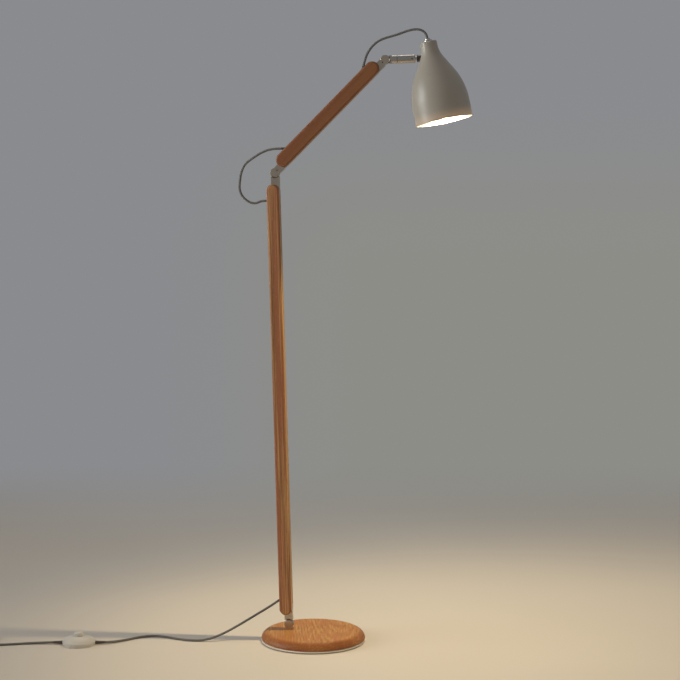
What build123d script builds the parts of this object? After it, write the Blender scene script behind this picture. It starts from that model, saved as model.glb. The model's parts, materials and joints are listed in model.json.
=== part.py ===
from build123d import *
import math
import os

os.makedirs("parts", exist_ok=True)

# Adjustable arm floor lamp, in millimetres, +Z up.
# The origin is the centre of the base's underside, and the arms fold in the XZ plane.

# Clearances
fit = 0.05
running = 0.4
seat_gap = 0.2

# Base: oak disc on a painted plate, with a rubber pad under it
base_radius = 114.5
pad_radius = 108.0
pad_thickness = 2.0
plate_thickness = 3.2
plate_edge = 0.8
disc_thickness = 17.8
disc_flat_radius = 97.0
disc_rim_height = 3.8
disc_under_round = 1.5
disc_rebate = 3.0
disc_rebate_height = 1.0
stem_offset = 54.3

# Oak bars
post_width = 27.6
arm_width = 30.2
oak_thickness = 24.0
oak_edge_round = 4.0
post_pitch = 994.0
post_foot_gap = 20.5
post_head_gap = 25.0
arm_pitch = 339.0
arm_gap = 17.5
post_lean = -1.6
arm_lean = 45.1

# Half-lap knuckles
knuckle_thickness = 14.0
knuckle_radius = 10.0
knuckle_edge = 1.0
lap_gap = 2.0
neck_width = 17.0
neck_cope_depth = 6.0
washer_thickness = 0.6
washer_radius = 9.0
tang_thickness = 10.0
tang_length = 24.0
bolt_radius = 3.0
bolt_depth = 5.5
bolt_head_radius = 5.0
bolt_head_height = 4.0
hex_key = 4.0
hex_key_depth = 2.0
pin_radius = 2.0
pin_inset = 18.5
pin_skin = 3.0
set_screw_radius = 1.4
set_screw_depth = 3.0
set_screw_socket = 0.85
set_screw_reach = 7.6
stem_height = 13.0
stem_spigot_radius = 6.0
stem_spigot_length = 9.0
stem_screw_radius = 3.0
stem_screw_bite = 7.0
stem_screw_head_radius = 6.0
stem_screw_head_height = 3.0

# Cover strips over the channels in the oak
strip_thickness = 2.0
strip_width = 13.0
strip_edge = 0.4

# Textile flex
flex_radius = 2.6
flex_clearance = 0.25
flex_bend = 18.0
flex_stub = 4.6
run_share = 0.45
post_exit_low = 33.0
post_exit_high = 35.0
elbow_lead_out = 9.0
elbow_lead_in = 22.0
head_lead_out = 14.0
grip_lead = 7.5
mains_lead_out = 22.0
switch_lead = 27.0
coil_lead_in = 26.0
arm_exit_low = 34.2
arm_exit_high = 29.5
mains_exit_turn = 55.0
loop_exit_turn = 90.0
arm_low_turn = 45.0
arm_high_turn = 32.0

# Head bracket and swivel rod
rod_lean = 88.2
ferrule_radius = 8.75
ferrule_start = 13.0
ferrule_end = 25.0
ferrule_bite = 1.0
spigot_radius = 5.0
spigot_gap = 0.5
groove_radius = 7.0
groove_width = 1.2
rod_edge = 0.8
rod_neck_radius = 4.5
rod_neck_length = 4.5
saddle_height = 7.0
saddle_radius = 6.8
saddle_rim_radius = 7.8
saddle_rim = 1.6
stud_radius = 4.0
stud_nut_width = 13.0
stud_nut_height = 5.0
inner_saddle_radius = 7.5
inner_saddle_depth = 5.2
rod_screw_inset = 5.5

# Spun shade
shade_tilt = 12.3
shade_turn = 1.8
shade_reach = 98.1
shade_mount_depth = 34.7
shade_length = 170.0
shade_neck_radius = 18.2
shade_mouth_radius = 61.0
shade_neck_length = 9.0
shade_flare = 30.0
shade_flare_radius = 54.0
shade_shoulder_radius = 143.0
shade_wall = 1.2
shade_top_round = 2.4
bead_radius = 0.9

# Cord grip, lampholder and lamp
grip_flange_radius = 9.0
grip_flange_height = 3.5
grip_radius = 5.5
grip_height = 7.0
grip_edge = 0.8
nipple_radius = 5.0
nipple_bite = 3.0
nipple_end = 50.0
nipple_nut_width = 15.0
nipple_nut_height = 3.0
holder_cap_start = 46.0
holder_cap_neck_radius = 8.0
holder_cap_height = 14.0
holder_dome_start = (0.4, 1)
holder_radius = 19.0
holder_length = 37.0
holder_floor = 8.0
holder_mouth_radius = 13.8
lamp_cap_radius = 13.4
lamp_cap_length = 29.0
globe_radius = 22.5
globe_neck_radius = 12.0
globe_drop = 30.0
globe_cheek = 60.0

# Foot switch on the mains flex
switch_x = -500.0
switch_y = -121.0
switch_turn = 10.0
switch_radius = 36.0
switch_rim = 8.0
switch_inner_rim = 5.9
switch_height = 19.0
seam_height = 3.2
seam_width = 0.6
seam_depth = 0.6
switch_wall = 2.2
switch_base_thickness = 3.0
button_radius = 10.0
button_crown_radius = 8.0
button_rise = 8.5
button_flange = 2.0
button_flange_thickness = 2.0
button_travel = 3.0
button_gap = 0.35
module_length = 22.0
module_width = 16.0
flex_entry_height = 4.6

# Put-away coil, its tie and the plug
coil_x = -742.0
coil_y = -133.0
coil_outer_radius = 40.4
coil_pitch = 5.9
coil_turns = 6.25
coil_probe = 0.002
coil_climb = 0.5
coil_layer = 5.9
coil_lead_out = 34.0
tie_thickness = 0.8
tie_width = 6.0
tie_gap = 0.4
plug_length = 40.0
plug_width = 36.0
plug_neck_radius = 5.5
plug_neck_length = 14.0
plug_edge = 1.0
plug_pin_radius = 2.4
plug_pin_length = 19.0
plug_pin_spacing = 19.0
plug_pin_root = 4.0


def lean(degrees):
    """Unit vector in the XZ plane, leaning this far from straight up towards +X."""
    angle = math.radians(degrees)
    return Vector(math.sin(angle), 0, math.cos(angle))


def along(pivot, direction):
    """Plane in which local X runs along a member, local Z is +Y and local Y is its under side."""
    return Plane(origin=pivot, x_dir=direction, z_dir=(0, 1, 0))


# Places that the sizes give
neck = neck_width / 2
half_knuckle = knuckle_thickness / 2
half_washer = washer_thickness / 2
plate_base = pad_thickness
disc_base = plate_base + plate_thickness
disc_top = disc_base + disc_thickness
post_dir = lean(post_lean)
arm_dir = lean(arm_lean)
rod_dir = lean(rod_lean)
rod_turn = Axis((0, 0, 0), rod_dir)
shade_dir = lean(180 - shade_tilt).rotate(rod_turn, -shade_turn)
shade_side = Vector(0, 1, 0).rotate(rod_turn, -shade_turn)
base_pivot = Vector(-stem_offset, 0, disc_top + stem_height)
elbow_pivot = base_pivot + post_dir * post_pitch
head_pivot = elbow_pivot + arm_dir * arm_pitch
shade_top = head_pivot + rod_dir * shade_reach - shade_dir * shade_mount_depth
post_plane = along(base_pivot, post_dir)
arm_plane = along(elbow_pivot, arm_dir)
rod_plane = along(head_pivot, rod_dir)
shade_plane = Plane(origin=shade_top, x_dir=shade_dir, z_dir=shade_side)
rod_axis = Axis(head_pivot, rod_dir)
shade_axis = Axis(shade_top, shade_dir)
stem_centre = Vector(-stem_offset, 0, 0)
flex_lateral = neck - strip_thickness - flex_radius - seat_gap


def knuckle_half(plane, side, neck_end, oak_side=0, oak_width=0):
    """One half of a half-lap knuckle, with its neck running along local X.

    side is -1 for the front lap and 1 for the rear lap. Where oak_side is -1 or 1 the neck is coped
    over the rounded end of an oak bar of oak_width whose centre line lies on that side of the neck.
    """
    with BuildPart() as half:
        with BuildSketch(plane):
            with BuildLine():
                upper = [(neck, neck), (neck_end, neck)]
                lower = [(neck_end, -neck), (neck, -neck)]
                Polyline((0, 0), *upper, *lower, close=True)
            make_face()
        extrude(amount=half_knuckle, both=True)
        if oak_side:
            end_round = oak_width / 2
            oak_centre = oak_side * (end_round - neck)
            with BuildSketch(plane):
                with Locations((neck_end - neck_cope_depth + end_round, oak_centre)):
                    Circle(end_round)
            extrude(amount=knuckle_thickness, both=True, mode=Mode.SUBTRACT)
        with BuildSketch(plane.offset(side * half_washer)):
            Circle(knuckle_radius + lap_gap)
        extrude(amount=-side * knuckle_thickness, mode=Mode.SUBTRACT)
        with BuildSketch(plane.offset(side * half_washer)):
            Circle(knuckle_radius)
        extrude(amount=side * (half_knuckle - half_washer))
        outer_face = half.faces().filter_by(Axis.Y).sort_by(Axis.Y)[0 if side < 0 else -1]
        rims = [e for e in outer_face.edges() if e.geom_type == GeomType.CIRCLE]
        lap_rim = [e for e in rims if abs(e.radius - knuckle_radius) < fit]
        chamfer(lap_rim, knuckle_edge)
        with BuildSketch(plane.offset(side * half_washer)):
            Circle(bolt_radius + fit)
        extrude(amount=side * (bolt_depth + seat_gap if side < 0 else half_knuckle), mode=Mode.SUBTRACT)
        if side > 0:
            with BuildSketch(plane.offset(half_knuckle)):
                Circle(bolt_head_radius + seat_gap)
            extrude(amount=-bolt_head_height, mode=Mode.SUBTRACT)
    return half.part


def tang_fitting(plane, side, shoulder, oak_side, oak_width):
    """A knuckle half with the tang that lies in an oak bar's channel and the hole for its pin."""
    half = knuckle_half(plane, side, shoulder + neck_cope_depth, oak_side, oak_width)
    with BuildPart() as fitting:
        add(half)
        root = knuckle_radius + lap_gap + running
        with BuildSketch(plane):
            with Locations(((root + shoulder + tang_length) / 2, 0)):
                Rectangle(shoulder + tang_length - root, neck_width)
        extrude(amount=tang_thickness / 2, both=True)
        with BuildSketch(plane.offset(oak_thickness / 2)):
            with Locations((shoulder + pin_inset, 0)):
                Circle(pin_radius + fit)
        extrude(amount=-oak_thickness + pin_skin, mode=Mode.SUBTRACT)
        if side < 0:
            with BuildSketch(plane.offset(-half_knuckle)):
                with Locations((set_screw_reach, 0)):
                    Circle(set_screw_radius + fit)
            extrude(amount=set_screw_depth, mode=Mode.SUBTRACT)
    return fitting.part


def set_screw(plane, reach):
    """A small socket set screw sunk flush in the front face of a knuckle."""
    with BuildPart() as screw:
        with BuildSketch(plane.offset(-half_knuckle)):
            with Locations((reach, 0)):
                Circle(set_screw_radius)
        extrude(amount=set_screw_depth)
        with BuildSketch(plane.offset(-half_knuckle)):
            with Locations((reach, 0)):
                RegularPolygon(set_screw_socket, 6)
        extrude(amount=set_screw_depth / 2, mode=Mode.SUBTRACT)
    return screw.part


def pivot_bolt(plane):
    """Socket-head pivot bolt, entered from the rear and threaded into the front lap."""
    with BuildPart() as bolt:
        with BuildSketch(plane.offset(half_knuckle)):
            Circle(bolt_head_radius)
        extrude(amount=-bolt_head_height)
        with BuildSketch(plane.offset(half_knuckle - bolt_head_height)):
            Circle(bolt_radius)
        extrude(amount=-(half_knuckle - bolt_head_height + half_washer + bolt_depth))
        with BuildSketch(plane.offset(half_knuckle)):
            RegularPolygon(hex_key / 2, 6, major_radius=False)
        extrude(amount=-hex_key_depth, mode=Mode.SUBTRACT)
    return bolt.part


def friction_washer(plane):
    """Thin ring between the two laps of a knuckle."""
    with BuildPart() as washer:
        with BuildSketch(plane):
            Circle(washer_radius)
            Circle(bolt_radius + fit, mode=Mode.SUBTRACT)
        extrude(amount=half_washer, both=True)
    return washer.part


def exit_points(exit_along, turn, sense, oak_width):
    """Corner and outer end of the flex where it leaves a bar's back, in the bar's own plane.

    exit_along is where the flex crosses the back face, turn is its bend in degrees out of the
    channel, and sense is 1 or -1 for flex that runs up or down the bar of oak_width.
    """
    oak_back = neck - oak_width
    depth = flex_lateral - oak_back
    angle = math.radians(turn)
    corner = (exit_along - sense * depth / math.tan(angle), flex_lateral)
    end = (
        exit_along + sense * flex_stub * math.cos(angle),
        oak_back - flex_stub * math.sin(angle),
    )
    return corner, end


def flex_tube(plane, points, radius):
    """Tube along a route in a bar's own plane, with the flex's bend at each corner."""
    with BuildPart() as tube:
        with BuildLine(plane) as route:
            FilletPolyline(*points, radius=flex_bend)
        with BuildSketch(Plane(origin=route.line @ 0, z_dir=route.line % 0)):
            Circle(radius)
        sweep(path=route.line)
    return tube.part


def oak_bar(plane, start, length, oak_width, flex_points, pin_places):
    """Oak bar with rounded ends, a channel along its under side and the two flex exits."""
    bore = flex_tube(plane, flex_points, flex_radius + flex_clearance)
    with BuildPart() as bar:
        with BuildSketch(plane):
            with Locations((start + length / 2, neck - oak_width / 2)):
                SlotOverall(length, oak_width)
        extrude(amount=oak_thickness / 2, both=True)
        fillet(bar.faces().filter_by(Axis.Y).edges(), oak_edge_round)
        with BuildSketch(plane):
            with Locations((start + length / 2, neck)):
                Rectangle(length + oak_width, 2 * neck_width)
        extrude(amount=tang_thickness / 2, both=True, mode=Mode.SUBTRACT)
        with BuildSketch(plane):
            with Locations((start + length / 2, neck - strip_thickness / 2)):
                Rectangle(length - 2 * tang_length, strip_thickness)
        extrude(amount=strip_width / 2 + fit, both=True, mode=Mode.SUBTRACT)
        add(bore, mode=Mode.SUBTRACT)
        with BuildSketch(plane.offset(oak_thickness / 2)):
            with Locations(*[(place, 0) for place in pin_places]):
                Circle(pin_radius + fit)
        extrude(amount=-oak_thickness + pin_skin, mode=Mode.SUBTRACT)
    return bar.part


def cover_strip(plane, start, length):
    """Slim metal strip that closes a bar's channel and lies flush from tang to tang."""
    strip_length = length - 2 * (tang_length + seat_gap)
    with BuildPart() as strip:
        with BuildSketch(plane):
            with Locations((start + length / 2, neck - strip_thickness / 2)):
                Rectangle(strip_length, strip_thickness)
        extrude(amount=strip_width / 2, both=True)
        outer_face = strip.faces().sort_by(Axis(plane.origin, plane.y_dir))[-1]
        chamfer(outer_face.edges(), strip_edge)
    return strip.part


def tang_pins(plane, places):
    """Dowel pins through the tangs, driven from the rear face and flush with it."""
    with BuildPart() as pins:
        with BuildSketch(plane.offset(oak_thickness / 2)):
            with Locations(*[(place, 0) for place in places]):
                Circle(pin_radius)
        extrude(amount=-oak_thickness + pin_skin)
    return pins.part


def cord_radii(points):
    """Bend radius at each inner point of a free cord's route, as large as its two runs allow."""
    radii = []
    for before, here, after in zip(points, points[1:], points[2:]):
        turn = (here - before).get_angle(after - here)
        shorter = min((here - before).length, (after - here).length)
        radii.append(run_share * shorter / math.tan(math.radians(turn) / 2))
    return radii


def free_cord(name, points):
    """Tube along a free stretch of the flex: straight runs joined by tangent arcs."""
    points = [Vector(*p) for p in points]
    radii = cord_radii(points)
    with BuildPart() as cord:
        with BuildLine():
            path = FilletPolyline(*points, radius=radii)
        with BuildSketch(Plane(origin=path @ 0, z_dir=path % 0)):
            Circle(flex_radius)
        sweep(path=path)
    ideal = math.pi * flex_radius**2 * path.length
    print(name, "length", round(path.length, 1), "volume ratio", round(cord.part.volume / ideal, 4))
    print(name, "radii", [round(r, 1) for r in radii])
    return cord.part


def finish(part, label):
    """Label a piece and write its STEP file."""
    part.label = label
    export_step(part, f"parts/{label}.step")


# Base pad
with BuildPart() as base_pad:
    with BuildSketch():
        Circle(pad_radius)
    extrude(amount=pad_thickness)

# Painted base plate, countersunk for the stem's screw
with BuildPart() as base_plate:
    with BuildSketch(Plane.XY.offset(plate_base)):
        Circle(base_radius)
    extrude(amount=plate_thickness)
    chamfer(base_plate.edges().filter_by(GeomType.CIRCLE), plate_edge)
    with Locations(Location((stem_centre.X, 0, plate_base), (180, 0, 0))):
        CounterSinkHole(stem_screw_radius + fit, stem_screw_head_radius, counter_sink_angle=90)

# Turned oak disc with a broad arc round its top and a shadow gap over the plate
with BuildPart() as base_disc:
    with BuildSketch(Plane.XZ):
        with BuildLine():
            rim_top = disc_base + disc_rim_height
            rebate_top = disc_base + disc_rebate_height
            rebate_edge = base_radius - disc_rebate
            underside = Polyline((0, disc_base), (rebate_edge, disc_base), (rebate_edge, rebate_top))
            lip = Line(underside @ 1, (base_radius - disc_under_round, rebate_top))
            lower = TangentArc(lip @ 1, (base_radius, rebate_top + disc_under_round), tangent=(1, 0))
            rim = Line(lower @ 1, (base_radius, rim_top))
            crown = TangentArc((disc_flat_radius, disc_top), rim @ 1, tangent=(1, 0))
            Polyline(crown @ 0, (0, disc_top), (0, disc_base))
        make_face()
    revolve(axis=Axis.Z)
    with BuildSketch(Plane.XY.offset(disc_base)):
        with Locations((stem_centre.X, 0)):
            Circle(stem_screw_radius + fit)
    extrude(amount=disc_thickness, mode=Mode.SUBTRACT)
    with BuildSketch(Plane.XY.offset(disc_top)):
        with Locations((stem_centre.X, 0)):
            Circle(stem_spigot_radius + fit)
    extrude(amount=-stem_spigot_length, mode=Mode.SUBTRACT)

# Stem: front lap of the base knuckle, standing on the oak and spigoted into it
stem_half = knuckle_half(along(base_pivot, Vector(0, 0, -1)), -1, stem_height)
with BuildPart() as base_stem:
    add(stem_half)
    with BuildSketch(Plane.XY.offset(disc_top)):
        with Locations((stem_centre.X, 0)):
            Circle(stem_spigot_radius)
    extrude(amount=-stem_spigot_length)
    with BuildSketch(Plane.XY.offset(disc_top - stem_spigot_length)):
        with Locations((stem_centre.X, 0)):
            Circle(stem_screw_radius + fit)
    extrude(amount=stem_screw_bite, mode=Mode.SUBTRACT)

# Countersunk screw that draws the stem down through the plate and the oak
with BuildPart() as stem_screw:
    screw_top = disc_top - stem_spigot_length + stem_screw_bite - seat_gap
    with BuildSketch(Plane.XZ):
        with BuildLine():
            Polyline(
                (-stem_offset, plate_base),
                (-stem_offset + stem_screw_head_radius, plate_base),
                (-stem_offset + stem_screw_radius, plate_base + stem_screw_head_height),
                (-stem_offset + stem_screw_radius, screw_top),
                (-stem_offset, screw_top),
                close=True,
            )
        make_face()
    revolve(axis=Axis(stem_centre, (0, 0, 1)))

finish(base_pad.part, "base_pad")
finish(base_plate.part, "base_plate")
finish(base_disc.part, "base_disc")
finish(base_stem.part, "base_stem")
finish(stem_screw.part, "stem_screw")

# Post and arm: flex routes, oak, strips, fittings and pins
post_length = post_pitch - post_foot_gap - post_head_gap
arm_length = arm_pitch - 2 * arm_gap
post_low = exit_points(post_foot_gap + post_exit_low, mains_exit_turn, -1, post_width)
post_high = exit_points(post_foot_gap + post_length - post_exit_high, loop_exit_turn, 1, post_width)
arm_low = exit_points(arm_gap + arm_exit_low, arm_low_turn, -1, arm_width)
arm_high = exit_points(arm_gap + arm_length - arm_exit_high, arm_high_turn, 1, arm_width)
post_route = [post_low[1], post_low[0], post_high[0], post_high[1]]
arm_route = [arm_low[1], arm_low[0], arm_high[0], arm_high[1]]
post_pin_places = [post_foot_gap + pin_inset, post_pitch - post_head_gap - pin_inset]
arm_pin_places = [arm_gap + pin_inset, arm_pitch - arm_gap - pin_inset]

finish(oak_bar(post_plane, post_foot_gap, post_length, post_width, post_route, post_pin_places), "post_oak")
finish(oak_bar(arm_plane, arm_gap, arm_length, arm_width, arm_route, arm_pin_places), "arm_oak")
finish(cover_strip(post_plane, post_foot_gap, post_length), "post_cover_strip")
finish(cover_strip(arm_plane, arm_gap, arm_length), "arm_cover_strip")
finish(tang_fitting(post_plane, 1, post_foot_gap, -1, post_width), "post_foot_fitting")
finish(tang_fitting(along(elbow_pivot, -post_dir), 1, post_head_gap, 1, post_width), "post_head_fitting")
finish(tang_fitting(arm_plane, -1, arm_gap, -1, arm_width), "arm_foot_fitting")
finish(tang_fitting(along(head_pivot, -arm_dir), -1, arm_gap, 1, arm_width), "arm_head_fitting")
finish(tang_pins(post_plane, post_pin_places), "post_pins")
finish(tang_pins(arm_plane, arm_pin_places), "arm_pins")
finish(flex_tube(post_plane, post_route, flex_radius), "post_flex")
finish(flex_tube(arm_plane, arm_route, flex_radius), "arm_flex")
finish(set_screw(arm_plane, set_screw_reach), "elbow_set_screw")
finish(set_screw(along(head_pivot, -arm_dir), set_screw_reach), "head_set_screw")

# Pivot bolts and friction washers of the three knuckles
for joint, plane in (("base", post_plane), ("elbow", arm_plane), ("head", rod_plane)):
    finish(pivot_bolt(plane), f"{joint}_pivot_bolt")
    finish(friction_washer(plane), f"{joint}_friction_washer")

# Head bracket: rear lap of the head knuckle with a round ferrule bored for the swivel
bracket_half = knuckle_half(rod_plane, 1, ferrule_start + ferrule_bite)
with BuildPart() as head_bracket:
    add(bracket_half)
    with BuildSketch(Plane(origin=head_pivot + rod_dir * ferrule_start, z_dir=rod_dir)):
        Circle(ferrule_radius)
    extrude(amount=ferrule_end - ferrule_start)
    with BuildSketch(Plane(origin=head_pivot + rod_dir * ferrule_end, z_dir=rod_dir)):
        Circle(spigot_radius + fit)
    extrude(amount=-(ferrule_end - ferrule_start), mode=Mode.SUBTRACT)
finish(head_bracket.part, "head_bracket")


def shade_section(inset):
    """Half section of the bell inside its outer face by inset, in the shade's own plane.

    Local X runs down the shade's axis from the top and local Y is the radius.
    """
    angle = math.radians(shade_flare)
    cos_flare = math.cos(angle)
    sin_flare = math.sin(angle)
    flare = shade_flare_radius + inset
    shoulder = shade_shoulder_radius - inset
    gain = shade_mouth_radius - shade_neck_radius
    curves = (shade_flare_radius + shade_shoulder_radius) * (1 - cos_flare)
    cone = (gain - curves) / sin_flare
    flare_centre = shade_neck_radius + shade_flare_radius
    flare_end = (shade_neck_length + flare * sin_flare, flare_centre - flare * cos_flare)
    cone_end = (flare_end[0] + cone * cos_flare, flare_end[1] + cone * sin_flare)
    shoulder_end = (cone_end[0] + shoulder * sin_flare, shade_mouth_radius - inset)
    top_round = max(shade_top_round - inset, fit)
    neck_radius = shade_neck_radius - inset
    with BuildSketch(shade_plane) as section:
        with BuildLine():
            top = Line((inset, 0), (inset, neck_radius - top_round))
            corner = TangentArc(top @ 1, (inset + top_round, neck_radius), tangent=(0, 1))
            wall = Line(corner @ 1, (shade_neck_length, neck_radius))
            bell = TangentArc(wall @ 1, flare_end, tangent=(1, 0))
            Line(bell @ 1, cone_end)
            body = TangentArc(cone_end, shoulder_end, tangent=(cos_flare, sin_flare))
            Polyline(body @ 1, (shade_length, shade_mouth_radius - inset), (shade_length, 0), (inset, 0))
        make_face()
    return section.sketch_local


shade_outer_section = shade_section(0)
shade_inner_section = shade_section(shade_wall)
with BuildPart() as shade_body:
    with BuildSketch(shade_plane):
        add(shade_outer_section)
    revolve(axis=shade_axis)
with BuildPart() as shade_cavity:
    with BuildSketch(shade_plane):
        add(shade_inner_section)
    revolve(axis=shade_axis)

# Places along the rod, measured from where its axis meets the bell
wall_hit = shade_body.part.find_intersection_points(rod_axis)[0][0]
wall_reach = (Vector(*wall_hit) - head_pivot).dot(rod_dir)
saddle_start = wall_reach - saddle_height
rod_end = saddle_start - rod_neck_length
inner_seat = wall_reach + inner_saddle_depth
stud_end = inner_seat + stud_nut_height

# Spun shade: the bell's wall with a rolled bead at its mouth and holes for nipple and stud
with BuildPart() as shade:
    with BuildSketch(shade_plane):
        add(shade_outer_section)
        add(shade_inner_section, mode=Mode.SUBTRACT)
        with Locations((shade_length, shade_mouth_radius - shade_wall / 2)):
            Circle(bead_radius)
    revolve(axis=shade_axis)
    with BuildSketch(Plane(origin=shade_top, z_dir=shade_dir)):
        Circle(nipple_radius + fit)
    extrude(amount=shade_wall + shade_top_round, mode=Mode.SUBTRACT)
    with BuildSketch(Plane(origin=head_pivot + rod_dir * rod_end, z_dir=rod_dir)):
        Circle(stud_radius + fit)
    extrude(amount=shade_reach - rod_end, mode=Mode.SUBTRACT)
finish(shade.part, "shade")

# Swivel rod: spigot in the ferrule, groove, rod, neck and the stud through the shade
with BuildPart() as swivel_rod:
    with BuildSketch(rod_plane):
        with BuildLine():
            rod_start = ferrule_end + groove_width
            Polyline(
                (ferrule_start + spigot_gap, 0),
                (ferrule_start + spigot_gap, spigot_radius),
                (ferrule_end, spigot_radius),
                (ferrule_end, groove_radius),
                (rod_start, groove_radius),
                (rod_start, ferrule_radius - rod_edge),
                (rod_start + rod_edge, ferrule_radius),
                (rod_end - rod_edge, ferrule_radius),
                (rod_end, ferrule_radius - rod_edge),
                (rod_end, rod_neck_radius),
                (saddle_start, rod_neck_radius),
                (saddle_start, stud_radius),
                (stud_end, stud_radius),
                (stud_end, 0),
                close=True,
            )
        make_face()
    revolve(axis=rod_axis)
    with BuildSketch(rod_plane.offset(-ferrule_radius)):
        with Locations((rod_end - rod_screw_inset, 0)):
            Circle(set_screw_radius + fit)
    extrude(amount=set_screw_depth, mode=Mode.SUBTRACT)
finish(swivel_rod.part, "swivel_rod")
with BuildPart() as rod_set_screw:
    with BuildSketch(rod_plane.offset(-ferrule_radius + set_screw_depth)):
        with Locations((rod_end - rod_screw_inset, 0)):
            Circle(set_screw_radius)
    extrude(amount=-set_screw_depth + seat_gap)
finish(rod_set_screw.part, "rod_set_screw")

# Saddle washers shaped to the bell, outside and inside its wall, and the stud's nut
with BuildPart() as shade_saddle:
    with BuildSketch(Plane(origin=head_pivot + rod_dir * saddle_start, z_dir=rod_dir)):
        Circle(saddle_rim_radius)
    extrude(amount=saddle_rim)
    with BuildSketch(Plane(origin=head_pivot + rod_dir * saddle_start, z_dir=rod_dir)):
        Circle(saddle_radius)
    extrude(amount=shade_reach - saddle_start)
    add(shade_body.part, mode=Mode.SUBTRACT)
    with BuildSketch(Plane(origin=head_pivot + rod_dir * saddle_start, z_dir=rod_dir)):
        Circle(stud_radius + fit)
    extrude(amount=shade_reach - saddle_start, mode=Mode.SUBTRACT)
finish(shade_saddle.part, "shade_saddle")
with BuildPart() as inner_saddle:
    with BuildSketch(Plane(origin=head_pivot + rod_dir * inner_seat, z_dir=rod_dir)):
        Circle(inner_saddle_radius)
        Circle(stud_radius + fit, mode=Mode.SUBTRACT)
    extrude(amount=-(inner_seat - saddle_start))
    add(shade_cavity.part, mode=Mode.INTERSECT)
finish(inner_saddle.part, "inner_saddle")
with BuildPart() as stud_nut:
    with BuildSketch(Plane(origin=head_pivot + rod_dir * inner_seat, z_dir=rod_dir)):
        RegularPolygon(stud_nut_width / 2, 6, major_radius=False)
        Circle(stud_radius + fit, mode=Mode.SUBTRACT)
    extrude(amount=stud_nut_height)
finish(stud_nut.part, "stud_nut")

# Cord grip on the shade's top, its threaded nipple and the nut inside
with BuildPart() as cord_grip:
    with BuildSketch(shade_plane):
        with BuildLine():
            Polyline(
                (0, nipple_radius + fit),
                (0, grip_flange_radius),
                (-grip_flange_height + grip_edge, grip_flange_radius),
                (-grip_flange_height, grip_flange_radius - grip_edge),
                (-grip_flange_height, grip_radius),
                (-grip_height + grip_edge, grip_radius),
                (-grip_height, grip_radius - grip_edge),
                (-grip_height, flex_radius + fit),
                (-nipple_bite, flex_radius + fit),
                (-nipple_bite, nipple_radius + fit),
                close=True,
            )
        make_face()
    revolve(axis=shade_axis)
finish(cord_grip.part, "cord_grip")
with BuildPart() as nipple:
    with BuildSketch(Plane(origin=shade_top - shade_dir * nipple_bite, z_dir=shade_dir)):
        Circle(nipple_radius)
        Circle(flex_radius + flex_clearance, mode=Mode.SUBTRACT)
    extrude(amount=nipple_bite + nipple_end)
finish(nipple.part, "nipple")
with BuildPart() as nipple_nut:
    with BuildSketch(Plane(origin=shade_top + shade_dir * shade_wall, z_dir=shade_dir)):
        RegularPolygon(nipple_nut_width / 2, 6, major_radius=False)
        Circle(nipple_radius + fit, mode=Mode.SUBTRACT)
    extrude(amount=nipple_nut_height)
finish(nipple_nut.part, "nipple_nut")

# Flex through the grip and the nipple to the lampholder
with BuildPart() as holder_flex:
    with BuildSketch(Plane(origin=shade_top - shade_dir * grip_height, z_dir=shade_dir)):
        Circle(flex_radius)
    extrude(amount=grip_height + nipple_end)
finish(holder_flex.part, "holder_flex")

# Lampholder: domed cap on the nipple and the socket body
holder_start = holder_cap_start + holder_cap_height
socket_floor = holder_start + holder_floor
holder_end = holder_start + holder_length
with BuildPart() as holder_cap:
    with BuildSketch(shade_plane):
        with BuildLine():
            cap_bore = nipple_radius + fit
            cap_top = Line((holder_cap_start, cap_bore), (holder_cap_start, holder_cap_neck_radius))
            dome = TangentArc(cap_top @ 1, (holder_start, holder_radius), tangent=holder_dome_start)
            Polyline(
                dome @ 1,
                (holder_start, 0),
                (nipple_end, 0),
                (nipple_end, cap_bore),
                cap_top @ 0,
            )
        make_face()
    revolve(axis=shade_axis)
finish(holder_cap.part, "lampholder_cap")
with BuildPart() as holder_body:
    with BuildSketch(shade_plane):
        with BuildLine():
            Polyline(
                (holder_start, 0),
                (holder_start, holder_radius),
                (holder_end - 2 * grip_edge, holder_radius),
                (holder_end, holder_radius - grip_edge),
                (holder_end, holder_mouth_radius),
                (socket_floor, holder_mouth_radius),
                (socket_floor, 0),
                close=True,
            )
        make_face()
    revolve(axis=shade_axis)
finish(holder_body.part, "lampholder_body")

# Lamp: metal cap in the socket and a round glass globe
lamp_cap_end = socket_floor + lamp_cap_length
with BuildPart() as lamp_cap:
    with BuildSketch(shade_plane):
        with BuildLine():
            Polyline(
                (socket_floor, 0),
                (socket_floor, lamp_cap_radius / 2),
                (socket_floor + lamp_cap_radius / 3, lamp_cap_radius),
                (lamp_cap_end, lamp_cap_radius),
                (lamp_cap_end, 0),
                close=True,
            )
        make_face()
    revolve(axis=shade_axis)
finish(lamp_cap.part, "lamp_cap")
globe_centre = lamp_cap_end + globe_drop
with BuildPart() as lamp_globe:
    with BuildSketch(shade_plane):
        with BuildLine():
            tangent_angle = math.radians(globe_cheek)
            cheek = (
                globe_centre - globe_radius * math.cos(tangent_angle),
                globe_radius * math.sin(tangent_angle),
            )
            ball_low = (globe_centre + globe_radius, 0)
            shank = Line((lamp_cap_end, 0), (lamp_cap_end, globe_neck_radius))
            TangentArc(
                cheek,
                shank @ 1,
                tangent=(-math.sin(tangent_angle), -math.cos(tangent_angle)),
            )
            ThreePointArc(cheek, (globe_centre, globe_radius), ball_low)
            Line(ball_low, (lamp_cap_end, 0))
        make_face()
    revolve(axis=shade_axis)
finish(lamp_globe.part, "lamp_globe")

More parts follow.
